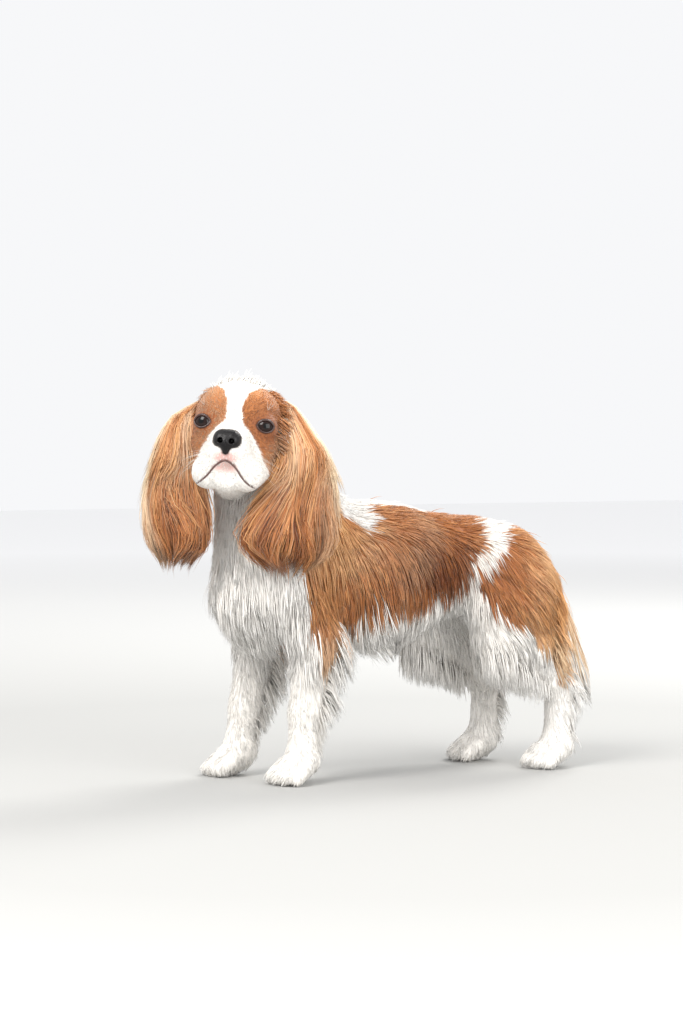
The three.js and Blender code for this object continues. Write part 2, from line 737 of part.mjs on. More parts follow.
// The belly's fringe, in two rows a side: [lean from straight down, locks, length]
const FRINGE = [
  [14, 4, 50],
  [46, 5, 44],
];
const bellyLocks = () =>
  Object.values(SIDES).flatMap((s) =>
    FRINGE.flatMap(([lean, count, length]) =>
      [...Array(count).keys()].map((n) => {
        const t = n / (count - 1);
        const way = vec(0, s * Math.sin(rad(lean)), -Math.cos(rad(lean)));
        return {
          root: rootAt(vec(mix(88, -66, t) + lean / 5, 0, 222), way),
          lie: vec(-0.8, 0, -0.6),
          face: vec(0, s, 0.1),
          length: length * mix(1.15, 0.85, t) * draw(0.9, 1.1),
          width: 46 * draw(0.9, 1.1),
          lift: 0.05,
          bend: 0.3,
        };
      }),
    ),
  );

// The ruff under the throat
const ruffLocks = () =>
  [-45, -15, 15, 45].map((turn) => {
    const way = vec(Math.cos(rad(turn)), Math.sin(rad(turn)), 0);
    return {
      root: rootAt(vec(182, 8, 332), way),
      lie: DOWN,
      face: way,
      length: 48 * draw(0.9, 1.1),
      width: 34,
      lift: 0.25,
      bend: 0.2,
    };
  });

// Feathers down the back of a foreleg, longest behind the elbow
function forelegLocks({ side, elbow, carpus }) {
  return [...Array(7).keys()].map((n) => {
    const t = n / 6;
    const from = vec(mix(elbow, carpus, t * 0.9), side * LEG_SPREAD, mix(172, 66, t));
    const turn = rad(n % 2 ? 24 : -24);
    return {
      root: rootAt(from, vec(-Math.cos(turn), Math.sin(turn), 0)),
      lie: vec(-0.6, 0, -0.8),
      face: vec(0.15, side, 0).normalize(),
      length: mix(70, 32, Math.sqrt(t)) * draw(0.92, 1.08),
      width: mix(38, 26, t),
      lift: 0.1,
      bend: 0.34,
    };
  });
}

// Breeches down the back of a thigh, and feathers in front of the stifle
function hindlegLocks({ side, stifle, hock }) {
  const y = side * LEG_SPREAD;
  const breeches = [...Array(6).keys()].map((n) => {
    const t = n / 5;
    const turn = rad(n % 2 ? 30 : -12);
    const from = vec(mix(stifle - 22, hock + 16, t), y * 0.94, mix(214, 122, t));
    return {
      root: rootAt(from, vec(-Math.cos(turn), side * Math.sin(turn), -0.1)),
      lie: vec(-0.45, 0, -0.9),
      face: vec(-0.5, side, 0).normalize(),
      length: mix(56, 48, t) * draw(0.92, 1.08),
      width: 38,
      lift: 0.16,
      bend: 0.34,
    };
  });
  const stifleFeather = [0, 1, 2].map((n) => ({
    root: rootAt(vec(mix(stifle - 10, hock + 28, n / 2), y, mix(158, 116, n / 2)), vec(0.8, 0, -0.35)),
    lie: vec(-0.2, 0, -1),
    face: vec(0.1, side, 0).normalize(),
    length: mix(50, 36, n / 2) * draw(0.92, 1.08),
    width: 38,
    lift: 0.05,
  }));
  return [...breeches, ...stifleFeather];
}

// The feather behind a hock
const hockLocks = ({ side, hock }) =>
  [74, 52].map((height) => ({
    root: rootAt(vec(hock + 2, side * LEG_SPREAD, height), vec(-1, 0, 0)),
    lie: vec(-0.35, 0, -1),
    face: vec(0, side, 0),
    length: 38,
    width: 26,
    lift: 0.15,
  }));

const solids = {};
const grownSolids = {};
const finish = (name, solid) => {
  solids[name] = solid;
  grownSolids[name] = grown(solid);
};
const rest = (...names) => names.map((name) => grownSolids[name]);
const fleshOnly = { torso: grown(torsoFlesh), neck: grown(neckFlesh), head: grown(head) };
// A hind leg is parted at the hock.
const HOCK_CUT = { height: 84, slant: -0.3 };
for (const name of legNames) {
  const leg = LEGS[name];
  const otherLegs = legNames.filter((n) => n !== name).map((n) => grownSolids[n] ?? grown(legs[n]));
  const others = [fleshOnly.torso, ...otherLegs];
  if (name.startsWith("fore")) {
    finish(name, planted(legs[name], forelegLocks(leg), others));
    continue;
  }
  const hock = { at: vec(leg.hock, 0, HOCK_CUT.height), way: vec(HOCK_CUT.slant, 0, -1) };
  const thigh = largest(legs[name].subtract(pastPlane(hock, GAP)));
  const foot = largest(legs[name].intersect(pastPlane(hock)));
  finish(name, planted(thigh, hindlegLocks(leg), [...others, grown(foot)]));
  const footName = name.replace("leg", "foot");
  finish(footName, planted(foot, hockLocks(leg), [...others, grownSolids[name]]));
}
const limbs = rest(...legNames, "hindfoot_left", "hindfoot_right");
const tailBase = largest(tailCore.subtract(fleshOnly.torso));
finish("tail", planted(tailBase, tailLocks(), [fleshOnly.torso, ...limbs]));
const besideTorso = [fleshOnly.neck, fleshOnly.head, grownSolids.tail, ...limbs];
finish("torso", planted(torsoFlesh, [...bibLocks(), ...bellyLocks()], besideTorso));
finish("neck", planted(neckFlesh, ruffLocks(), [fleshOnly.head, ...rest("torso")]));
finish("nose", nose);
for (const side of Object.keys(SIDES)) finish(`eye_${side}`, ball(eyes[side], EYE_RADIUS, 12));
finish("head", head);
for (const name of Object.keys(EARS)) {
  const around = rest("head", "neck", "torso", "foreleg_left", "foreleg_right");
  const core = largest(around.reduce((cut, other) => cut.subtract(other), earFlap(name)));
  finish(name, planted(core, earLocks(name, EAR_CUT[name]), around));
}

const FINISH = {
  white: { color: 0xf2ece2, roughness: 0.8 },
  chestnut: { color: 0xa85a26, roughness: 0.7 },
  black: { color: 0x17130f, roughness: 0.35 },
  eye: { color: 0x1c0f08, roughness: 0.05 },
};
const FINISH_OF = {
  torso: "chestnut",
  tail: "chestnut",
  nose: "black",
  ear_left: "chestnut",
  ear_right: "chestnut",
};

// The group
const dog = new THREE.Group();
for (const [name, solid] of Object.entries(solids)) {
  const { vertProperties, triVerts } = solid.getMesh();
  const geometry = new THREE.BufferGeometry()
    .setAttribute("position", new THREE.BufferAttribute(vertProperties, 3))
    .setIndex(new THREE.BufferAttribute(triVerts, 1));
  geometry.computeVertexNormals();
  const look = name.startsWith("eye") ? "eye" : (FINISH_OF[name] ?? "white");
  const mesh = new THREE.Mesh(geometry, new THREE.MeshStandardMaterial({ ...FINISH[look], metalness: 0 }));
  mesh.name = name;
  dog.add(mesh);
}
// The origin is on the floor, under the middle of the whole dog.
const box = new THREE.Box3().setFromObject(dog);
const middle = box.getCenter(vec(0, 0, 0));
dog.position.set(-middle.x, -middle.y, -box.min.z);
dog.updateMatrixWorld(true);
export default dog;
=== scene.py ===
"""Dresses the spaniel's solids: one skin, a coat of hair tufts, eyes, nose, lids, lips and whiskers.

Metres, in the solids' own frame: +X is the way the chest faces, +Y the dog's left, +Z up, and the
floor is z = 0. The flesh is the field of tapered masses that the solids are made from, so the skin
follows them and lies inside them by the depth of the coat.
"""

import logging
import math
from dataclasses import dataclass, field
from enum import Enum
from typing import Callable, Sequence, Union

import bpy
import numpy as np
from mathutils import Matrix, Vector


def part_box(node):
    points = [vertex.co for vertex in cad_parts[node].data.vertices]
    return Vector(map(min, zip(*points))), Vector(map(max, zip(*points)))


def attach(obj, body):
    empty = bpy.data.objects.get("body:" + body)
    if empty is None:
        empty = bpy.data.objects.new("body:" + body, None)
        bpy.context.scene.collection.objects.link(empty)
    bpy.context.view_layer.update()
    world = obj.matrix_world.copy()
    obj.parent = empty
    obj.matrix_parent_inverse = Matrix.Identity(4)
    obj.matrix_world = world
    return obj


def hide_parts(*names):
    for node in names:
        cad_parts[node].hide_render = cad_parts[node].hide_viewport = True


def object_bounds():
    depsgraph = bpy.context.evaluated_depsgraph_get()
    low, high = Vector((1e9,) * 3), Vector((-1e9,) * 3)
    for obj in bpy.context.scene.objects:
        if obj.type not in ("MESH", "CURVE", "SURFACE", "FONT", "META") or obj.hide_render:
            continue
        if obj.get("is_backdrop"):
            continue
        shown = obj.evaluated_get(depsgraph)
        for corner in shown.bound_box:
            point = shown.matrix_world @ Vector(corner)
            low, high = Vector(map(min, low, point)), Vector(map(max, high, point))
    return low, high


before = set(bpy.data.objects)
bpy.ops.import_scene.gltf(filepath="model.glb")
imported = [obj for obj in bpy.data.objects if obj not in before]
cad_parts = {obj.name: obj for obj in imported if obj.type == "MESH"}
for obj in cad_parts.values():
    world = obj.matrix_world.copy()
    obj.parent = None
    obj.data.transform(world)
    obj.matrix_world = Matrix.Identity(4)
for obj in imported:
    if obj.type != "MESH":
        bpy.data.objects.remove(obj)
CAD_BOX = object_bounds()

Array = np.ndarray
Number = Union[Array, float]
Point = tuple[float, float, float]
Colour = tuple[float, float, float, float]
Feed = Union[bpy.types.NodeSocket, float, Colour]

log = logging.getLogger("spaniel")

MM = 0.001  # the masses and the sizes of the coat are written in millimetres
FAR = 1000.0  # further away than any part of the dog
TINY = 1e-9  # keeps a division from failing
PATCH = 0.003  # how large a tuft is on its bake map

# Driving sizes of the dog, in millimetres and degrees
CHEST_HALF = 72
LEG_SPREAD = 50
EYE_RADIUS = 11.5
EYE_SPREAD = 32.5
EYE_AHEAD = 33
HEAD_TURN = 57
HEAD_LIFT = 8
HEAD_TILT = 4.8
HEAD_AT = (211, 28, 391)
PAW_LENGTH = 40


class Side(Enum):
    """A side of the dog, as the sign of its Y."""

    LEFT = 1
    RIGHT = -1


class Slot(Enum):
    """Names of material slots, passed to each piece's build, which doesn't read them."""

    WHITE = "white_coat"
    CHESTNUT = "chestnut_coat"
    NOSE = "nose_leather"
    EYE = "eye"


# Small sums


def unit(v: Array) -> Array:
    """Scales vectors to length one.

    Args:
        v: Vectors along the last axis.

    Returns:
        The same directions, of length one.
    """
    return v / np.maximum(np.linalg.norm(v, axis=-1, keepdims=True), TINY)


def ramp(x: Array, low: float, high: float) -> Array:
    """Smooth step: 0 at low, 1 at high, 3t² − 2t³ between."""
    t = np.clip((x - low) / (high - low), 0, 1)
    return t * t * (3 - 2 * t)


def mix(a: Number, b: Number, t: Number) -> Number:
    """Straight blend: a at t = 0, b at t = 1."""
    return a + (b - a) * t


def turn_about(axis: int, degrees: float) -> Array:
    """Rotation matrix about one axis.

    Args:
        axis: 0, 1 or 2 for X, Y or Z.
        degrees: The angle, right-handed.

    Returns:
        A 3 by 3 matrix.
    """
    c, s = math.cos(math.radians(degrees)), math.sin(math.radians(degrees))
    i, j = (axis + 1) % 3, (axis + 2) % 3
    turned = np.eye(3)
    turned[i, i], turned[i, j], turned[j, i], turned[j, j] = c, -s, s, c
    return turned


@dataclass(frozen=True)
class Sway:
    """A smooth field of small vectors: a sum of sines along fixed random directions."""

    period: float
    seed: int
    waves: int = 5
    strength: float = 1.2

    def at(self, p: Array) -> Array:
        """Vectors of length about one: Σ wᵢ · sin(2π · kᵢ·p / period + φᵢ).

        Args:
            p: Points, in millimetres.

        Returns:
            One vector per point.
        """
        rng = np.random.default_rng(self.seed)
        ways = unit(rng.normal(size=(self.waves, 3))) * rng.uniform(0.6, 1.5, (self.waves, 1))
        sides = unit(rng.normal(size=(self.waves, 3)))
        starts = rng.uniform(0, 2 * np.pi, self.waves)
        turns = 2 * np.pi * (p @ ways.T) / self.period + starts
        return np.sin(turns) @ sides * self.strength / math.sqrt(self.waves)


# The flesh


@dataclass(frozen=True)
class Mass:
    """A tapered capsule from a to b, squashed or stretched across the body, with a blend radius."""

    a: Point
    b: Point
    ra: float
    rb: float
    blend: float = 14
    wide: float = 1

    def distance(self, p: Array) -> Array:
        """Distance to the mass: |q − t·ab| − mix(ra, rb, t), with Y divided by `wide`.

        Args:
            p: Points, in millimetres.

        Returns:
            Millimetres, negative inside.
        """
        squash = np.array([1, 1 / self.wide, 1])
        start = np.array(self.a) * squash
        along = np.array(self.b) * squash - start
        q = p * squash - start
        t = np.clip(q @ along / (along @ along), 0, 1)
        return np.linalg.norm(q - t[..., None] * along, axis=-1) - mix(self.ra, self.rb, t)


def pair(a: Point, b: Point, ra: float, rb: float, blend: float) -> list[Mass]:
    """The same mass on both sides of the midline."""
    return [Mass((a[0], s.value * a[1], a[2]), (b[0], s.value * b[1], b[2]), ra, rb, blend) for s in Side]


def join(masses: Sequence[Mass], p: Array, start: Array) -> Array:
    """Smooth union: min(d, e) − h²·blend/4, with h = max(blend − |d − e|, 0)/blend.

    Args:
        masses: The masses, joined in this order.
        p: Points, in millimetres.
        start: The distance so far.

    Returns:
        The distance to all of them, in millimetres.
    """
    d = start
    for mass in masses:
        e = mass.distance(p)
        h = np.maximum(mass.blend - np.abs(d - e), 0) / mass.blend
        d = np.minimum(d, e) - h * h * mass.blend / 4
    return d


TORSO = [
    Mass((112, 0, 233), (20, 0, 232), 80, 76, 10, CHEST_HALF / 80),
    Mass((20, 0, 232), (-92, 0, 240), 76, 52, 14, 0.93),
    Mass((-92, 0, 236), (-146, 0, 214), 50, 44, 16, 1.08),
    Mass((122, 0, 284), (50, 0, 276), 30, 28, 22, 0.9),
    Mass((148, 0, 236), (170, 0, 208), 60, 50, 18, 1.04),
    *pair((118, 34, 278), (160, 38, 214), 34, 35, 20),
    *pair((-122, 30, 236), (-112, 38, 196), 48, 46, 22),
]
NECK = [
    Mass((124, 0, 262), (182, 19, 374), 62, 51, 24),
    Mass((186, 2, 316), (178, 0, 226), 38, 48, 20),
]
HEAD = [
    Mass((-24, 0, 7), (0, 0, 11), 44, 44, 10, 1.12),
    *pair((14, 19, 13), (22, 17, 19), 24, 21, 12),
    *pair((-10, 31, -18), (20, 28, -20), 23, 21, 14),
    *pair((18, 26, 0), (31, EYE_SPREAD, 0), 18, 14.5, 8),
    Mass((28, 0, -20), (64, 0, -24), 29, 20, 12, 1.04),
    *pair((64, 11, -37), (50, 21, -56), 14, 16, 9),
    *pair((50, 21, -56), (26, 26, -48), 16, 18, 10),
    Mass((51, 0, -63), (4, 0, -52), 14, 28, 9),
]


@dataclass(frozen=True)
class Leg:
    """A leg's side, and where along X its joints and its paw stand."""

    side: Side
    top: float
    low: float
    paw: float
    turn: float
    fore: bool

    @property
    def y(self) -> float:
        """The leg's place across the body."""
        return self.side.value * LEG_SPREAD

    def paw_masses(self) -> list[Mass]:
        """The pad, and four toes side by side in front of it.

        Returns:
            The masses, in the dog's frame.
        """
        c, s = math.cos(math.radians(self.turn)), math.sin(math.radians(self.turn))

        def at(ahead: float, across: float, z: float) -> Point:
            """A place in the paw's own frame."""
            return (self.paw + c * ahead - s * across, self.y + s * ahead + c * across, z)

        toes = []
        for n in (-1.5, -0.5, 0.5, 1.5):
            reach = PAW_LENGTH - 4 * abs(n)
            toes.append(Mass(at(10, n * 10, 20), at(reach - 8, n * 11.5, 9), 10, 9, 4))
        return [Mass(at(-4, 0, 26), at(14, 0, 14), 19, 18, 10), *toes]

    def masses(self) -> list[Mass]:
        """The leg from the shoulder or hip to the floor.

        Returns:
            The masses, in the dog's frame.
        """
        y, top, low, paw = self.y, self.top, self.low, self.paw
        if self.fore:
            bones = [
                Mass((top + 24, y * 0.86, 214), (top, y, 164), 33, 28, 18),
                Mass((top, y, 164), (low, y, 78), 26, 18.5, 12),
                Mass((low, y, 78), (paw - 2, y, 30), 18.5, 17.5, 8),
            ]
        else:
            bones = [
                Mass((top - 26, y * 0.86, 214), (top - 2, y, 160), 42, 36, 20),
                Mass((top - 30, y * 0.9, 196), (low + 34, y, 150), 42, 30, 20),
                Mass((top, y, 154), (low, y, 92), 32, 18, 16),
                Mass((low, y, 90), (paw - 4, y, 30), 17.5, 17, 8),
            ]
        return [*bones, *self.paw_masses()]


LEGS = {
    "foreleg_left": Leg(Side.LEFT, 128, 142, 147, 22, True),
    "foreleg_right": Leg(Side.RIGHT, 148, 168, 178, -4, True),
    "hindleg_left": Leg(Side.LEFT, -112, -186, -180, 12, False),
    "hindleg_right": Leg(Side.RIGHT, -66, -146, -138, -4, False),
}


@dataclass(frozen=True)
class HeadFrame:
    """The head's own axes: forward along the muzzle, left, up, with the origin between the eyes."""

    origin: Point = HEAD_AT

    @property
    def axes(self) -> Array:
        """Rotation whose columns are the head's axes."""
        return turn_about(2, HEAD_TURN) @ turn_about(1, -HEAD_LIFT) @ turn_about(0, -HEAD_TILT)

    def out(self, p: Array) -> Array:
        """Points in the head's frame, moved to the dog's."""
        return p @ self.axes.T + np.array(self.origin)

    def into(self, p: Array) -> Array:
        """Points in the dog's frame, moved to the head's."""
        return (p - np.array(self.origin)) @ self.axes

    def way(self, v: Array) -> Array:
        """A direction in the head's frame, turned to the dog's."""
        return np.asarray(v, float) @ self.axes.T


HEAD_FRAME = HeadFrame()


@dataclass(frozen=True)
class Flesh:
    """The whole dog's smooth field, in millimetres, before the shift that centres the model."""

    probe: float = 0.4

    def body(self, p: Array) -> Array:
        """Distance to trunk, neck and legs."""
        masses = [*TORSO, *NECK, *(m for leg in LEGS.values() for m in leg.masses())]
        return join(masses, p, np.full(p.shape[:-1], FAR))

    def head(self, p: Array) -> Array:
        """Distance to the head alone."""
        return join(HEAD, HEAD_FRAME.into(p), np.full(p.shape[:-1], FAR))

    def distance(self, p: Array) -> Array:
        """Distance to the whole dog."""
        return join(HEAD, HEAD_FRAME.into(p), self.body(p))

    def slope(self, p: Array, distance: Callable[[Array], Array] | None = None) -> Array:
        """The field's slope by differences, which points out of the flesh.

        Args:
            p: Points.
            distance: The field, or the flesh if none is given.

        Returns:
            The slope at each point.
        """
        f = distance or self.distance
        steps = np.eye(3) * self.probe
        return np.stack([f(p + s) - f(p - s) for s in steps], -1) / (2 * self.probe)


FLESH = Flesh()


@dataclass(frozen=True)
class EyeSetting:
    """How an eye sits in the head, in the head's frame."""

    side: Side
    lid_curve: float = 9.9
    lid_shift: float = 3.0

    @property
    def centre(self) -> Array:
        """The middle of the ball."""
        return np.array([EYE_AHEAD, self.side.value * EYE_SPREAD, 0.0])

    @property
    def gaze(self) -> Array:
        """The way it looks: ahead and a little outwards."""
        return unit(np.array([1, self.side.value * 0.3, 0.02]))

    @property
    def across(self) -> Array:
        """Sideways over the ball."""
        return unit(np.cross([0, 0, 1], self.gaze))

    @property
    def up(self) -> Array:
        """Up over the ball."""
        return np.cross(self.gaze, self.across)

    def almond(self, p: Array) -> Array:
        """Distance to the lids' opening: the overlap of two round bars along the gaze.

        Args:
            p: Points in the head's frame.

        Returns:
            Millimetres, negative inside the opening.
        """
        q = p - self.centre
        side, up, ahead = q @ self.across, q @ self.up, q @ self.gaze
        upper = np.hypot(side, up + self.lid_shift) - self.lid_curve
        lower = np.hypot(side, up - self.lid_shift) - self.lid_curve
        return np.maximum(np.maximum(upper, lower), -ahead)

    def rim(self, count: int, radius: float) -> Array:
        """Points round the opening's edge, on a ball of a radius about the eye.

        Args:
            count: How many points.
            radius: The ball's radius.

        Returns:
            Points in the head's frame, anticlockwise seen from ahead.
        """
        half = math.acos(self.lid_shift / self.lid_curve)
        turn = np.linspace(-half, half, count // 2, endpoint=False)
        side = np.concatenate([-self.lid_curve * np.sin(turn), self.lid_curve * np.sin(turn)])
        rise = self.lid_curve * np.cos(turn) - self.lid_shift
        up = np.concatenate([rise, -rise])
        ahead = np.sqrt(np.maximum(radius**2 - side**2 - up**2, 0))
        return self.centre + side[:, None] * self.across + up[:, None] * self.up + ahead[:, None] * self.gaze


EYES = {side: EyeSetting(side) for side in Side}


# Nets


def spans(*stretches: tuple[float, float, float]) -> Array:
    """Grid planes along one axis.

    Args:
        stretches: From, to and step of each stretch, one after another.

    Returns:
        Rising places.
    """
    parts = [np.linspace(a, b, math.ceil((b - a) / step) + 1)[:-1] for a, b, step in stretches]
    return np.concatenate([*parts, [stretches[-1][1]]])


CORNERS = np.array([[n & 1, (n >> 1) & 1, n >> 2] for n in range(8)])
EDGES = [(a, b) for a in range(8) for b in range(a + 1, 8) if abs(CORNERS[a] - CORNERS[b]).sum() == 1]
COARSE = 4  # the field is first read at every fourth plane, then only near the surface
MARGIN = 1.4  # how much wider than a coarse cell the stretch is that is read in full
LEAST_SLOPE = 0.2  # keeps a step short where the field is nearly flat


def sampled(distance: Callable[[Array], Array], axes: list[Array]) -> Array:
    """Reads a field on a grid, exactly near the surface and only roughly elsewhere.

    Args:
        distance: The field.
        axes: Grid planes along X, Y and Z.

    Returns:
        The values, one per crossing of the planes.
    """
    rough_axes = [a[::COARSE] for a in axes]
    rough = distance(np.stack(np.meshgrid(*rough_axes, indexing="ij"), -1))
    reach = MARGIN * math.hypot(*(np.diff(a).max() * (COARSE / 2 + 1) for a in axes))
    nearest = [
        np.minimum((np.arange(len(a)) + COARSE // 2) // COARSE, len(r) - 1) for a, r in zip(axes, rough_axes)
    ]
    values = rough[np.ix_(*nearest)]
    close = np.argwhere(np.abs(values) < reach)
    places = np.stack([a[close[:, n]] for n, a in enumerate(axes)], -1)
    values[tuple(close.T)] = distance(places)
    return values


def step_onto(p: Array, distance: Callable[[Array], Array]) -> Array:
    """The step from points onto a field's surface: −f·∇f/|∇f|².

    Args:
        p: Points near the surface.
        distance: The field.

    Returns:
        One step per point.
    """
    slope = FLESH.slope(p, distance)
    return -distance(p)[:, None] * slope / np.maximum((slope**2).sum(-1, keepdims=True), LEAST_SLOPE)


def net_over(distance: Callable[[Array], Array], axes: list[Array], passes: int = 3) -> tuple[Array, Array]:
    """A net of quads over distance = 0: one point per grid cell that the surface crosses.

    A cell's point is the mean of its edge crossings, then moves onto the surface.

    Args:
        distance: The field, negative inside.
        axes: Grid planes along X, Y and Z.
        passes: How often the points move onto the surface.

    Returns:
        Points, and quads that face outwards.
    """
    values = sampled(distance, axes)
    inside = values < 0
    low, high = slice(None, -1), slice(1, None)
    corners = [inside[tuple(high if c else low for c in corner)] for corner in CORNERS]
    count = np.sum(corners, axis=0, dtype=np.int8)
    active = (count > 0) & (count < 8)
    cells = np.argwhere(active)
    number = np.full(active.shape, -1)
    number[active] = np.arange(len(cells))
    index = cells[:, None] + CORNERS
    value = values[index[..., 0], index[..., 1], index[..., 2]]
    place = np.stack([a[index[..., n]] for n, a in enumerate(axes)], -1)
    total, hits = np.zeros((len(cells), 3)), np.zeros((len(cells), 1))
    for a, b in EDGES:
        crossed = ((value[:, a] < 0) != (value[:, b] < 0))[:, None]
        t = (value[:, a] / np.where(crossed[:, 0], value[:, a] - value[:, b], 1))[:, None]
        total += np.where(crossed, mix(place[:, a], place[:, b], t), 0)
        hits += crossed
    points = total / hits
    limit = np.min([np.diff(a).min() for a in axes])
    for _ in range(passes):
        points = points + np.clip(step_onto(points, distance), -limit, limit)
    quads = []
    for axis in range(3):
        ahead = [slice(1, -1)] * 3
        ahead[axis] = slice(None, -1)
        behind = list(ahead)
        behind[axis] = slice(1, None)
        here, there = inside[tuple(ahead)], inside[tuple(behind)]
        at = np.argwhere(here != there) + (np.arange(3) != axis)
        u, v = np.eye(3, dtype=int)[(axis + 1) % 3], np.eye(3, dtype=int)[(axis + 2) % 3]
        ring = np.stack([number[tuple((at - step).T)] for step in (u + v, v, 0 * u, u)], -1)
        flip = ~inside[tuple(at.T)]
        ring[flip] = ring[flip, ::-1]
        quads.append(ring)
    return points, np.concatenate(quads)


# Meshes and pieces


def triangles(faces: Array) -> Array:
    """Faces as triangles, without the empty half of a quad that has a doubled corner.

    Args:
        faces: Triangles or quads.

    Returns:
        Triangles.
    """
    if faces.shape[1] == 3:
        return faces
    halves = np.vstack([faces[:, :3], faces[:, (0, 2, 3)]])
    return halves[(halves != np.roll(halves, 1, 1)).all(1)]


@dataclass
class Piece:
    """A finished mesh of the dog, in design millimetres, with the values that its finish reads."""

    name: str
    points: Array
    faces: Array
    values: dict[str, Array] = field(default_factory=dict)
    patch: Array | None = None

    def build(
        self, shift: Array, finish: "Finish", slot: Slot, replaces: Sequence[str] = ()
    ) -> bpy.types.Object:
        """Makes the Blender object, dresses it and ties it to the frame.

        Args:
            shift: What centres the model on the frame, in metres.
            finish: The piece's material.
            slot: Not used.
            replaces: The solids that it stands for.

        Returns:
            The object.
        """
        mesh = bpy.data.meshes.new(self.name)
        faces = triangles(self.faces)
        mesh.vertices.add(len(self.points))
        mesh.vertices.foreach_set("co", (self.points * MM + shift).astype(np.float32).ravel())
        mesh.loops.add(faces.size)
        mesh.loops.foreach_set("vertex_index", faces.astype(np.int32).ravel())
        mesh.polygons.add(len(faces))
        mesh.polygons.foreach_set("loop_start", np.arange(0, faces.size, 3, dtype=np.int32))
        mesh.update(calc_edges=True)
        mesh.shade_smooth()
        for name, value in self.values.items():
            attribute = mesh.attributes.new(name, "FLOAT", "POINT")
            attribute.data.foreach_set("value", np.ascontiguousarray(value, np.float32))
        if self.patch is not None:
            layer = mesh.uv_layers.new(name="OFBake")
            layer.uv.foreach_set("vector", self.patch[faces.ravel()].astype(np.float32).ravel())
        mesh.materials.append(finish.material())
        piece = bpy.data.objects.new(self.name, mesh)
        bpy.context.scene.collection.objects.link(piece)
        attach(piece, "root")
        if replaces:
            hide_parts(*replaces)
        log.info("%s: %d triangles", self.name, len(faces))
        return piece


def sleeve(rows: int, columns: int, ring: bool = False) -> Array:
    """Quads of a round grid: (i, j), (i, j + 1), (i + 1, j + 1), (i + 1, j).

    Args:
        rows: How many rows of points there are.
        columns: Points in a row, which closes on itself.
        ring: Whether the last row joins the first.

    Returns:
        The quads.
    """
    row, col = np.meshgrid(np.arange(rows - (not ring)), np.arange(columns), indexing="ij")
    following, beside = (row + 1) % rows, (col + 1) % columns
    corners = ((row, col), (row, beside), (following, beside), (following, col))
    return np.stack([i * columns + j for i, j in corners], -1).reshape(-1, 4)


def closed_sleeve(rows: int, columns: int) -> Array:
    """A sleeve with its two ends closed by fans round two more points, which come last.

    Args:
        rows: How many rows of points there are.
        columns: Points in a row.

    Returns:
        Quads, and triangles written as quads with a doubled corner.
    """
    fan = np.arange(columns)
    after = (fan + 1) % columns
    low, tip = (rows - 1) * columns, np.full(columns, rows * columns)
    first = np.stack([tip, after, fan, fan], -1)
    last = np.stack([tip + 1, low + fan, low + after, low + after], -1)
    return np.vstack([sleeve(rows, columns), first, last])


def tube(path: Array, radius: Array | float, sides: int = 6, closed: bool = False) -> tuple[Array, Array]:
    """A round bar along a path: P(i, a) = pathᵢ + rᵢ(cos a · u + sin a · v).

    Args:
        path: Points along the middle.
        radius: Its radius, or one for each point.
        sides: Corners of the section.
        closed: Whether the path is a ring.

    Returns:
        Points and quads. An open bar narrows to a small closed end.
    """
    if closed:
        way = unit(np.roll(path, -1, 0) - np.roll(path, 1, 0))
    else:
        way = unit(np.gradient(path, axis=0))
    middle = path.mean(0)
    u = unit(np.cross(way, path - middle + [0.01, 0.02, 0.03]))
    v = np.cross(way, u)
    r = np.broadcast_to(np.asarray(radius, float), len(path))[:, None, None]
    a = np.linspace(0, 2 * np.pi, sides, endpoint=False)[:, None]
    points = path[:, None] + r * (np.cos(a) * u[:, None] + np.sin(a) * v[:, None])
    points = points.reshape(-1, 3)
    if closed:
        return points, sleeve(len(path), sides, True)
    return np.vstack([points, path[:1], path[-1:]]), closed_sleeve(len(path), sides)


def gathered(parts: Sequence[tuple[Array, Array]]) -> tuple[Array, Array]:
    """Joins several meshes' points and faces into one.

    Args:
        parts: Points and faces of each.

    Returns:
        Points and faces of all.
    """
    starts = np.cumsum([0, *(len(points) for points, _ in parts)])
    return np.vstack([p for p, _ in parts]), np.vstack([f + s for (_, f), s in zip(parts, starts)])


# Finishes


